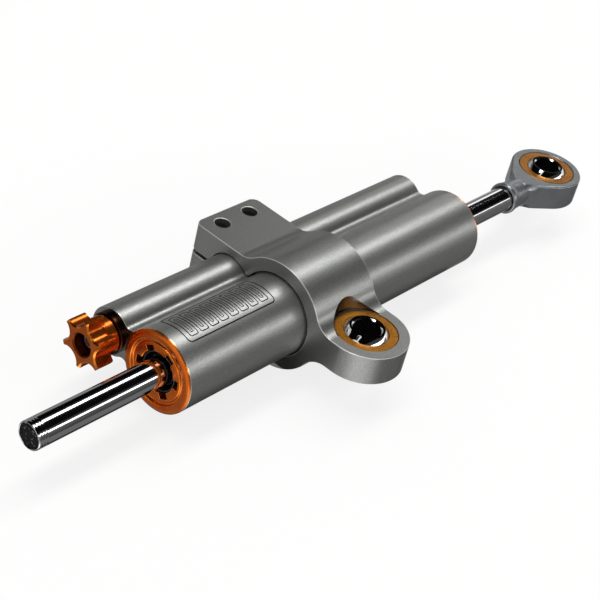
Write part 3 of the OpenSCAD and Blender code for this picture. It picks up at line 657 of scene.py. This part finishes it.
# %% Turn the rod and its insert
TIP_X, NECK_X = FRONT_X - 54.2, BACK_X + 39.0
CLIP_AT, CLIP_HALF, CLIP_R = 7.15, 0.55, 4.6
RING_FLOOR = ROD_R - 0.04
rings = []
for ring_x in (TIP_X + 1.2, TIP_X + 2.3, TIP_X + 3.4):
    rings += [(ring_x, ROD_R), (ring_x + 0.1, RING_FLOOR), (ring_x + 0.3, RING_FLOOR),
              (ring_x + 0.4, ROD_R)]
clips = []
for clip_x in (MIDDLE_X - CLIP_AT, MIDDLE_X + CLIP_AT):
    clips += [(clip_x - CLIP_HALF, ROD_R), (clip_x - CLIP_HALF, CLIP_R),
              (clip_x + CLIP_HALF, CLIP_R), (clip_x + CLIP_HALF, ROD_R)]
rod = turned("rod", [
    (TIP_X + 3, 0), (TIP_X + 3, 4.4), (TIP_X + 0.15, 4.4), (TIP_X, 4.55), (TIP_X + 0.04, 4.7),
    (TIP_X + 0.3, 4.94), (TIP_X + 0.5, ROD_R), *rings, *clips, (NECK_X + 2.8, ROD_R),
    (NECK_X + 2.8, 3.98), (NECK_X + 14.5, 3.98), (NECK_X + 14.5, 0)], MAIN, steps=180)
insert = turned("rod_tip_insert", [
    (2.95, 0), (2.95, 4.38), (0.5, 4.38), (0.35, 4.2), (0.27, 2.5), (0.25, 0)], MAIN, start=TIP_X)
stands_for(smooth(rod, hard_chrome), "piston_rod", "rod")
stands_for(smooth(insert, granular), "rod_tip_plug", "rod")

# %% [markdown]
# ## Spherical bearings
# Each bearing is a polished steel ball with a bore, held in a bronze race. The race wraps the ball past
# its middle, so it shows as a flat ring. The small slope round the ball's bore catches the brightest
# light on it. Both bearings are made by the same two functions.


# %% Balls and races
BALL_R, BALL_W, BORE_R, RACE_W = 9.525, 14.0, 5.0, 10.7
BALL_STEPS, RACE_STEPS = 48, 40    # from one flat end of the sphere to the other


def bearing_ball(name, centre):
    half = BALL_W / 2
    rim = math.degrees(math.asin(half / BALL_R))
    sphere = [on_circle((0, 0), BALL_R, -rim + k * 2 * rim / BALL_STEPS) for k in range(BALL_STEPS + 1)]
    outline = [(z, r) for r, z in sphere]
    outline += [(half, BORE_R + 0.55), (half - 0.08, BORE_R + 0.4), (half - 0.5, BORE_R),
                (0.5 - half, BORE_R), (0.08 - half, BORE_R + 0.4), (-half, BORE_R + 0.55)]
    return turned(name, outline, centre, axis="Z", steps=128)


def bearing_race(name, centre, radius):
    half, inner = RACE_W / 2, BALL_R + 0.05
    rim = math.degrees(math.asin((half - 0.15) / inner))
    sphere = [on_circle((0, 0), inner, rim - k * 2 * rim / RACE_STEPS) for k in range(RACE_STEPS + 1)]
    lip = sphere[0][0]
    outline = [(half - 0.3, radius), (half, radius - 0.3), (half, lip + 0.25)]
    outline += [(z, r) for r, z in sphere]
    outline += [(-half, lip + 0.25), (-half, radius - 0.3), (0.3 - half, radius)]
    return turned(name, outline, centre, axis="Z", steps=128)


bearings = [
    (bearing_ball("clamp_bearing_ball", (0, 0)), "clamp_ball", "mount_ball"),
    (bearing_ball("rod_end_bearing_ball", EYE), "rod_end_ball", "eye_ball"),
    (bearing_race("clamp_bearing_race", (0, 0), 11.48), "clamp_race", "cylinder"),
    (bearing_race("rod_end_bearing_race", EYE, 11.73), "rod_end_race", "rod")]
for piece, node, rides_on in bearings:
    is_ball = node.endswith("ball")
    smooth(piece, bearing_steel if is_ball else bronze, angle=25)
    stands_for(piece, node, rides_on)

# %% [markdown]
# ## The rod end
# The real one is forged and then machined. Its thick round head narrows in a wedge to a short round
# neck. The head is sawn from that outline and its edges are broken. A turned flare then trims the
# wedge's end round, as a lathe would, and the neck, with a soft lip at its mouth, is joined to it. The
# booleans leave the shading patchy, so the finished piece is shaded afresh.

# %% Saw the head, and soften its edges
HEAD_R, HEAD_T, SEAT_R, SEAT_RIM_R = 14.85, 11.0, 11.75, 12.05
WEDGE_X, WEDGE_HALF = -20.5, 4.55
wedge_turn = heading((0, 0), (WEDGE_X, WEDGE_HALF)) - math.degrees(
    math.acos(HEAD_R / math.hypot(WEDGE_X, WEDGE_HALF)))
pen = Pen("rod_end_head", "XY", -HEAD_T / 2, on_circle(EYE, HEAD_R, wedge_turn))
pen.line((EYE[0] + WEDGE_X, EYE[1] + WEDGE_HALF), (EYE[0] + WEDGE_X, EYE[1] - WEDGE_HALF))
pen.line(on_circle(EYE, HEAD_R, -wedge_turn)).arc(EYE, 2 * wedge_turn)
head = sawn(pen, HEAD_T)
break_edges(head, 0.7, zinc_steel, segments=4, angle=20)
tell(head)

# %% Round the wedge's end, turn the neck, and bore the rod end
flare = turned("rod_end_flare", [
    (-1, 0), (-1, 5.9), (0, 6.0), (1, 6.25), (2, 6.7), (3, 7.4), (4, 8.5), (5.2, 10.8), (6.5, 15),
    (8, 25), (40, 25), (40, 0)], MAIN, start=EYE[0] + WEDGE_X)
cut(head, flare, "INTERSECT")
neck = turned("rod_end_neck", [
    (0, 0), (0, 5.9), (0.2, 6.25), (0.6, 6.45), (1.2, 6.5), (1.8, 6.42), (2.6, 6.18), (3.6, 6.02),
    (5.0, 5.96), (7.0, 5.9), (9.0, 5.82), (11, 5.6), (13, 5.2), (13, 0)], MAIN, start=NECK_X)
cut(head, neck, "UNION")
mouth = turned("mouth", [
    (-2, 0), (-2, 7.6), (0, 5.5), (0.25, 5.25), (3, 5.25), (3, 4), (15.5, 4), (15.5, 0)],
    MAIN, steps=96, start=NECK_X)
seat = turned("seat", [
    (-7, 0), (-7, 13.5), (-HEAD_T / 2, SEAT_RIM_R), (0.3 - HEAD_T / 2, SEAT_R),
    (HEAD_T / 2 - 0.3, SEAT_R), (HEAD_T / 2, SEAT_RIM_R), (7, 13.5), (7, 0)], EYE, axis="Z", steps=128)
cut(head, mouth)
cut(head, seat)
stands_for(even_shading(smooth(head, zinc_steel), angle=28), "rod_end_housing", "rod")

# %% [markdown]
# ## The clamp
# The clamp is milled from one block: a ring round the body, an ear for the bearing on one side, and
# two jaws on the other that screws pull together. Its side view is one long line of arcs, in through
# the split and round the opening. It is sawn a little too wide, and the view from above then trims it.
# The ring rises close to the bearing, so a smooth spotface is cut there from both sides.

# %% Sizes of the clamp, and its four fillets
RING_R, FILLET_R, EAR_T, JAW_TOP, JAW_LOW = 20.7, 9.3, 11.2, 13.5, -12.5
SPLIT_LOW, SPLIT_TOP, JAW_Y, CLAMP_W = 1.3, 2.8, 70.8, 31.0
OPEN_R, SIDE_OPEN_R, VALLEY_OPEN_R = 15.74, 9.3, 2.6


def fillet_at(height, toward):
    """Centre of a fillet that touches the ring and a flat at this height, on one side of the ring."""
    across = math.sqrt((RING_R + FILLET_R) ** 2 - (abs(height) + FILLET_R) ** 2)
    return (MAIN[0] + toward * across, math.copysign(abs(height) + FILLET_R, height))


jaw_top, jaw_low = fillet_at(JAW_TOP, 1), fillet_at(JAW_LOW, 1)
ear_top, ear_low = fillet_at(EAR_T / 2, -1), fillet_at(-EAR_T / 2, -1)
print("the upper fillets are centred at Y", round(ear_top[0], 1), "and", round(jaw_top[0], 1))

# %% Draw and saw the clamp
PAST_JAW, PAST_EAR = JAW_Y + 2, -CLAMP_W / 2 - 2
pen = Pen("clamp", "YZ", -CLAMP_W / 2 - 1, (PAST_JAW, SPLIT_TOP))
pen.line((PAST_JAW, JAW_TOP), (jaw_top[0], JAW_TOP)).arc(jaw_top, heading(jaw_top, MAIN) % 360 - 270)
pen.arc(MAIN, heading(MAIN, ear_top) - heading(MAIN, jaw_top), step=2)
pen.arc(ear_top, 270 - heading(ear_top, MAIN) % 360).line(
    (PAST_EAR, EAR_T / 2), (PAST_EAR, -EAR_T / 2), (ear_low[0], -EAR_T / 2))
pen.arc(ear_low, heading(ear_low, MAIN) - 90)
pen.arc(MAIN, (heading(MAIN, jaw_low) - heading(MAIN, ear_low)) % 360, step=2)
pen.arc(jaw_low, 90 - heading(jaw_low, MAIN)).line((PAST_JAW, JAW_LOW), (PAST_JAW, SPLIT_LOW))
split_turns = [math.degrees(math.asin((z - SIDE[1]) / SIDE_OPEN_R)) for z in (SPLIT_LOW, SPLIT_TOP)]
pen.line(on_circle(SIDE, SIDE_OPEN_R, split_turns[0]))
pen.arc(SIDE, -((split_turns[0] - SIDE_LOW) % 360))
low_meet = crossing(MAIN, OPEN_R, VALLEY_LOW, VALLEY_OPEN_R, 1)
top_meet = crossing(MAIN, OPEN_R, VALLEY_TOP, VALLEY_OPEN_R, -1)
pen.arc(VALLEY_LOW, (heading(VALLEY_LOW, low_meet) - heading(VALLEY_LOW, SIDE)) % 360, step=8)
pen.arc(MAIN, -((heading(MAIN, low_meet) - heading(MAIN, top_meet)) % 360), step=2)
pen.arc(VALLEY_TOP, (heading(VALLEY_TOP, SIDE) - heading(VALLEY_TOP, top_meet)) % 360, step=8)
pen.arc(SIDE, -((SIDE_TOP - split_turns[1]) % 360))
clamp = sawn(pen, CLAMP_W + 2)
tell(clamp)

# %% Trim it from above, and drill it
JAW_CORNER, EAR_BORE_R, SPOTFACE_R = 3.2, 11.5, 12.05
SCREWS, SCREW_Y, TAPPED_R, CLEAR_R = (-7.15, 7.15), 65.1, 3.0, 3.3
half = CLAMP_W / 2
plan = Pen("clamp_plan", "XY", -24, (half, 0)).line((half, JAW_Y - JAW_CORNER))
plan.arc((half - JAW_CORNER, JAW_Y - JAW_CORNER), 90, step=5).line((JAW_CORNER - half, JAW_Y))
plan.arc((JAW_CORNER - half, JAW_Y - JAW_CORNER), 90, step=5).line((-half, 0))
plan.arc((0, 0), 180)
cut(clamp, sawn(plan, 48), "INTERSECT")
for screw_x in SCREWS:
    drill(clamp, (screw_x, SCREW_Y, 10), (0, 0, 1), TAPPED_R, length=20)
    drill(clamp, (screw_x, SCREW_Y, -8), (0, 0, 1), CLEAR_R, length=20.6)
# The clamp's broken edges get the brighter edge finish, partly a painted highlight line.
break_edges(clamp, 0.22, blasted_clamp, clamp_bare_edge_and_painted_highlight)
drill(clamp, (0, 0, 0), (0, 0, 1), EAR_BORE_R, length=50, sides=128)
for up in (1, -1):
    drill(clamp, (0, 0, up * (EAR_T / 2 + 15.02)), (0, 0, 1), SPOTFACE_R, length=30, sides=128,
          finish=faced)
even_shading(clamp)
stands_for(clamp, "clamp_bracket", "cylinder")

# %% [markdown]
# A thin dark liner lies between the clamp and the tube, and two socket head screws come up from below.
# From above only their dark tips show, down in the holes.

# %% The liner and the screws
LINER_X, LINER_REACH = CLAMP_W / 2 - 0.4, 11.5
LINER_OUT, LINER_IN = OPEN_R - 0.02, TUBE_R + 0.02
liner_half = math.degrees(math.acos(LINER_REACH / LINER_OUT))
liner_inner = math.degrees(math.acos(LINER_REACH / LINER_IN))
pen = Pen("clamp_liner", "YZ", -LINER_X, on_circle(MAIN, LINER_OUT, liner_half))
pen.arc(MAIN, 360 - 2 * liner_half, step=2).line(on_circle(MAIN, LINER_IN, -liner_inner))
pen.arc(MAIN, 2 * liner_inner - 360, step=2)
liner = sawn(pen, 2 * LINER_X)
stands_for(smooth(liner, black_plastic), "clamp_liner", "cylinder")
for screw_x, end in zip(SCREWS, ("front", "rear")):
    thread = [(11.1 - k * 0.5 - (0.25 if k % 2 else 0), 2.98 if k % 2 else 2.75) for k in range(8)]
    screw = turned("screw_" + end, [
        (-16.5, 0), (-16.5, 4.6), (-16.1, 4.98), (-12.51, 4.98), (-12.51, 2.98), (7.0, 2.98),
        *thread[::-1], (11.1, 2.4), (11.1, 0)], (screw_x, SCREW_Y), axis="Z", steps=64)
    drill(screw, (screw_x, SCREW_Y, -15.8), (0, 0, 1), radius=2.9, length=3.4, sides=6)
    smooth(screw, black_steel)
    stands_for(screw, "clamp_screw_" + end, "cylinder")

# %% [markdown]
# ## The adjuster
# The orange knob has six lobes for the fingers, milled between round scallops. Its outline is twelve
# arcs, sawn. A bevel would pinch in the tight corners between lobe and scallop, so its chamfers are cut
# with cones, as the mill does. A round skirt nearly touches the dark flange of the housing behind it.

# %% Saw the knob's outline
KNOB_X, LOBE_END, KNOB_BACK = FRONT_X - 13.0, FRONT_X - 5.7, FRONT_X - 2.6
KNOB_R, SCALLOP_R, SCALLOP_AT, LOBE_TURN = 9.35, 4.36, 10.66, 32.0
KNOB_EDGE, SCALLOP_EDGE = 0.35, 0.5
SCREW_FLOOR = KNOB_X + 5.9
scallops = [on_circle(SIDE, SCALLOP_AT, LOBE_TURN + SIXTH * (k + 0.5)) for k in range(6)]
lobe_half = SIXTH / 2 - math.degrees(math.acos(
    (SCALLOP_AT**2 + KNOB_R**2 - SCALLOP_R**2) / (2 * SCALLOP_AT * KNOB_R)))
scallop_half = math.degrees(math.acos(
    (SCALLOP_AT**2 + SCALLOP_R**2 - KNOB_R**2) / (2 * SCALLOP_AT * SCALLOP_R)))
pen = Pen("knob", "YZ", KNOB_X, on_circle(SIDE, KNOB_R, LOBE_TURN - lobe_half))
for scallop in scallops:
    pen.arc(SIDE, 2 * lobe_half)
    pen.arc(scallop, -2 * scallop_half, step=6)
knob = smooth(sawn(pen, LOBE_END - KNOB_X), orange_knob)
tell(knob)

# %% Cut its chamfers, join its skirt and bore its recess
taper = turned("taper", [
    (KNOB_X - 1, 0), (KNOB_X - 1, KNOB_R - KNOB_EDGE - 1), (KNOB_X + KNOB_EDGE, KNOB_R + 0.01),
    (LOBE_END - 0.4, KNOB_R + 0.01), (LOBE_END + 0.6, KNOB_R - 1), (LOBE_END + 0.6, 0)], SIDE, steps=144)
cut(knob, taper, "INTERSECT")
for scallop in scallops:
    cone = turned("scallop_edge", [
        (-0.5, 0), (-0.5, SCALLOP_R + SCALLOP_EDGE + 0.5), (SCALLOP_EDGE + 0.1, SCALLOP_R - 0.1),
        (SCALLOP_EDGE + 0.1, 0)], scallop, steps=90, start=KNOB_X)
    # The scallop chamfers get the bright orange painted highlight.
    cut(knob, cone, finish=orange_edge_painted_highlight)
skirt = turned("skirt", [
    (LOBE_END - 1, 0), (LOBE_END - 1, 6.9), (KNOB_BACK - 0.25, 6.9), (KNOB_BACK, 6.65), (KNOB_BACK, 0)],
    SIDE, steps=96)
cut(knob, skirt, "UNION")
recess = turned("recess", [
    (KNOB_X - 1, 0), (KNOB_X - 1, 5.5), (KNOB_X, 4.5), (KNOB_X + 0.5, 4.0), (SCREW_FLOOR, 4.0),
    (SCREW_FLOOR, 2.52), (KNOB_BACK + 1, 2.52), (KNOB_BACK + 1, 0)], SIDE, steps=72)
# The recess walls get the darker orange, a painted shade.
cut(knob, recess, finish=orange_painted_recess_shade)
even_shading(knob)
stands_for(knob, "adjuster_knob", "knob")

# %% The screw in the knob, and the dark housing behind it
screw = turned("knob_socket_screw", [
    (-2.3, 0), (-2.3, 2.6), (-2.0, 2.95), (-0.01, 2.95), (-0.01, 1.23), (4.1, 1.23), (4.1, 0)],
    SIDE, steps=64, start=SCREW_FLOOR)
drill(screw, (SCREW_FLOOR - 2.1, *SIDE), (1, 0, 0), radius=1.9, length=2.4, sides=6)
stands_for(smooth(screw, plain_steel), "knob_screw", "knob")
housing = turned("adjuster_gland", [
    (-2.2, 2.53), (-2.2, 7.1), (-1.9, 7.4), (-0.01, 7.4), (-0.01, 5.98), (13, 5.98), (13, 4.85),
    (15, 4.85), (15, 5.98), (21.5, 5.98), (21.5, 4.0), (7.05, 4.0), (7.05, 2.53), (4.6, 2.53),
    (4.6, 3.72), (3, 3.72), (3, 2.53)], SIDE, steps=96, start=FRONT_X)
drill(housing, (FRONT_X - 1, SIDE[0], SIDE[1] - 4.9), (1, 0, 0), radius=0.85, length=6, sides=24)
# The housing is coloured with the painted reflection of the orange knob.
stands_for(smooth(housing, brown_painted_knob_reflection), "adjuster_housing", "cylinder")

# %% [markdown]
# ## Plugs
# The rear of the side tube is closed by the reservoir's plug, with a hexagon socket and a tiny bleed
# screw, and two small plugs close the cross drillings on the outer side.

# %% Turn the plugs and cut their sockets
plug = turned("reservoir_end_plug", [
    (0, 0), (0, 5.7), (-0.28, 5.98), (-3.5, 5.98), (-3.5, 4.75), (-5.3, 4.75), (-5.3, 5.98),
    (-7.5, 5.98), (-7.5, 0)], SIDE, steps=96, start=BACK_X)
drill(plug, (BACK_X, *SIDE), (1, 0, 0), radius=3.0, length=5.0, sides=6)
drill(plug, (BACK_X - 5, *SIDE), (1, 0, 0), radius=1.25, length=8.0, sides=32)
stands_for(break_edges(plug, 0.1, black_anodised), "reservoir_plug", "cylinder")
bleed = turned("bleed_grub_screw", [
    (-2.8, 0), (-2.8, 1.1), (-2.93, 1.23), (-7, 1.23), (-7, 0)], SIDE, steps=32, start=BACK_X)
drill(bleed, (BACK_X - 3, *SIDE), (1, 0, 0), radius=0.7, length=1.4, sides=6)
stands_for(smooth(bleed, plain_steel), "bleed_screw", "cylinder")
for port_x, end in PORTS:
    port = turned("port_plug_" + end + "_turned", [
        (0, 0), (0, 2.48), (2.0, 2.48), (2.2, 2.28), (2.2, 0)],
        (0, 0), axis="Z", steps=48, start=PORT_PLUG_Y)
    settle(port, (port_x, 0, PORT_Z), -90)
    drill(port, (port_x, PORT_PLUG_Y + 2.2, PORT_Z), (0, 1, 0), radius=1.25, length=2.2, sides=6)
    stands_for(break_edges(port, 0.08, plain_steel), "port_plug_" + end, "cylinder")

# %% [markdown]
# ## Pieces inside
# The solids that stay as they are in the CAD file are hidden in the bores. They still get a finish,
# because a cutaway or an exploded view shows them.

# %% Finishes of the CAD solids that stay
INSIDE = (
    (rubber, ("front_rod_seal", "rear_rod_seal", "front_head_oring", "rear_head_oring",
              "housing_oring", "spindle_oring", "plug_oring", "reservoir_oring")),
    (bronze, ("front_guide_bush", "rear_guide_bush", "needle_guide")),
    (ptfe, ("piston_ring",)),
    (plain_steel, ("piston", "front_shims", "rear_shims", "reservoir_piston", "valve_seat",
                   "adjuster_spindle", "adjuster_needle", "detent_spring")),
    (bearing_steel, ("detent_ball",)),
    (black_steel, ("front_circlip", "rear_circlip")))
for finish, nodes in INSIDE:
    for node in nodes:
        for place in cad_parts[node].material_slots:
            place.material = finish
print(sum(len(nodes) for finish, nodes in INSIDE), "solids inside have their finish")

# %% [markdown]
# ## The studio
# The damper lies on a plain pale floor. Seen straight or in a reflection, the floor and the world are
# mixed with plain white, so the background is white but the floor still keeps a faint shadow.


# %% What looks at a surface
def seen_directly(tree):
    """One where the eye, a reflection or clear glass looks at this surface, and nought elsewhere."""
    path = add_node(tree, "LightPath")
    eye = add_node(tree, "Math", {0: path.outputs["Is Camera Ray"], 1: path.outputs["Is Glossy Ray"]},
                   operation="MAXIMUM")
    return add_node(tree, "Math", {0: eye.outputs[0], 1: path.outputs["Is Transmission Ray"]},
                    operation="MAXIMUM").outputs[0]


# %% The floor
FLOOR_Z, FLOOR_SIZE = cad_box[0][2] / MM - 0.05, 8
FLOOR_WHITE = 0.8
painted = new_finish("studio_floor_pale")
tree = painted.node_tree
share = add_node(tree, "Math", {0: seen_directly(tree), 1: FLOOR_WHITE}, operation="MULTIPLY")
pale = add_node(tree, "BsdfDiffuse", {"Color": linear("#f0f0ee")})
white = add_node(tree, "Emission", {"Color": linear("#ffffff"), "Strength": 1.0})
mixed = add_node(tree, "MixShader", {0: share.outputs[0], 1: pale.outputs[0], 2: white.outputs[0]})
add_node(tree, "OutputMaterial", {"Surface": mixed.outputs[0]})

select_nothing()
bpy.ops.mesh.primitive_plane_add(size=FLOOR_SIZE, location=(0, 0, FLOOR_Z * MM))
floor = bpy.context.object
floor.name = "studio_floor"
floor.data.materials.append(painted)
floor.visible_glossy = False    # The grey cards below stand for it in reflections.
print("the floor is at", round(FLOOR_Z, 2), "mm")

# %% The world
SOFT_LIGHT = 0.5
world = bpy.data.worlds.new("studio")
world.use_nodes = True
bpy.context.scene.world = world
world.node_tree.nodes.clear()
tree = world.node_tree
soft = add_node(tree, "Background", {"Color": linear("#ffffff"), "Strength": SOFT_LIGHT})
plain = add_node(tree, "Background", {"Color": linear("#ffffff"), "Strength": 1.0})
mixed = add_node(tree, "MixShader", {0: seen_directly(tree), 1: soft.outputs[0], 2: plain.outputs[0]})
add_node(tree, "OutputWorld", {"Surface": mixed.outputs[0]})
print("the world lights the damper with a strength of", SOFT_LIGHT)

# %% [markdown]
# ## Soft lamps and cards
# Polished metal has no look of its own: it shows the studio. The rod in the photograph shows two long
# softboxes, one overhead and one low on the camera's side, and darkness between them. Each place is
# given as a turn round the body's axis, from level on the adjuster's side up to overhead at 90 degrees.

# %% Two long softboxes
LAMP_RADIUS, CARD_RADIUS = 1500, 1600
LAMP_X, LAMP_LENGTH = 0.32, 2.84    # in metres, as are the widths below
LAMPS = (("softbox_top", 82, 0.36, 19.0), ("softbox_side", 157, 0.24, 8.5))
for name, turn, width, power in LAMPS:
    light = bpy.data.lights.new(name, "AREA")
    light.shape, light.size, light.size_y, light.energy = "RECTANGLE", LAMP_LENGTH, width, power
    lamp = bpy.data.objects.new(name, light)
    y, z = on_circle(MAIN, LAMP_RADIUS, turn)
    lamp.location = (LAMP_X, y * MM, z * MM)
    lamp.rotation_euler = (math.radians(turn - 90), 0, 0)
    lamp.visible_camera = False
    bpy.context.scene.collection.objects.link(lamp)
print("softboxes:", [lamp[0] for lamp in LAMPS])

# %% [markdown]
# A photographer sets grey and black cards round polished metal, or it would mirror nothing but white.
# These cards hang all the way round, in three lengths: on the near side, which faces that look at the
# camera mirror, beyond the damper, which the rod and the tubes mirror, and farther on, which only the
# rod's far end mirrors. They show in reflections only, so they take no light from the damper. Three
# small black cards under the body and the two balls are a painted shadow: in reflections they stand for
# the floor where it lies in shadow.


# %% A card's finish, and how it is hung
def card_finish(name, grey):
    finish = new_finish(name)
    glow = add_node(finish.node_tree, "Emission", {"Color": (grey, grey, grey, 1.0), "Strength": 1.0})
    add_node(finish.node_tree, "OutputMaterial", {"Surface": glow.outputs[0]})
    finish.cycles.emission_sampling = "NONE"
    return finish


def hang_card(card, grey):
    select_nothing()
    card.data.materials.append(card_finish(card.name, grey))
    card.visible_camera = card.visible_diffuse = card.visible_transmission = False
    card.visible_shadow = card.visible_volume_scatter = False


# %% Grey cards all the way round
BLACK = 0.002
CARDS = (    # from and to, in degrees round the axis, then the grey on the near side, beyond and far
    (0, 6, 0.3, 0.24, 0.16), (6, 19, 0.35, 0.42, 0.25), (19, 27, 0.1, 0.12, 0.35),
    (27, 46, BLACK, BLACK, 1.6), (46, 50, BLACK, BLACK, 0.02), (50, 68, BLACK, BLACK, 0.02),
    (68, 75, BLACK, 0.15, 0.004), (75, 89, 0.05, 0.6, 0.004), (89, 97, 1.0, 0.05, 0.004),
    (97, 138, BLACK, 0.004, 0.004), (138, 150, 0.05, 0.05, 0.04), (150, 158, 0.5, 0.6, 2.0),
    (158, 164, 0.5, 0.6, 0.2), (164, 181, 0.3, 0.13, 0.22), (181, 200, 0.3, 0.09, 0.17),
    (200, 218, 0.7, 0.22, 0.16), (218, 240, 1.7, 0.22, 0.16), (240, 248, 1.7, 0.14, 0.08),
    (248, 262, 1.1, 0.02, 0.1), (262, 275, 0.35, 0.06, 0.12), (275, 300, 0.4, 0.25, 0.4),
    (300, 340, 0.34, 0.4, 0.5), (340, 360, 0.3, 0.24, 0.5))
LENGTHS = (("near", -2500, 2300), ("beyond", -200, 2000), ("far", 1800, 2000))
for k, (start, end, *greys) in enumerate(CARDS):
    for (side, x, length), grey in zip(LENGTHS, greys):
        pen = Pen(f"card_{side}_{k}", "YZ", x, on_circle(MAIN, CARD_RADIUS, start))
        pen.arc(MAIN, end - start)
        bpy.ops.mesh.select_all(action="SELECT")
        bpy.ops.mesh.extrude_region_move(TRANSFORM_OT_translate={"value": (length * MM, 0, 0)})
        hang_card(pen.piece, grey)
print(len(CARDS) * len(LENGTHS), "cards hang round the damper")

# %% Black cards under it, a painted shadow in reflections
SHADOW_CARDS_UNDER = (    # the place, then the length along X and the width
    ("body", (MIDDLE_X, 36, -18), BODY_LENGTH, 52),
    ("clamp_ball", (0, 0, -7.6), 20, 20), ("rod_end_ball", (*EYE, -7.6), 20, 20))
for name, at, length, width in SHADOW_CARDS_UNDER:
    select_nothing()
    bpy.ops.mesh.primitive_plane_add(size=MM, location=[c * MM for c in at])
    bpy.ops.transform.resize(value=(length, width, 1))
    bpy.context.object.name = "card_under_" + name
    hang_card(bpy.context.object, BLACK)
print(len(SHADOW_CARDS_UNDER), "cards lie under the damper")
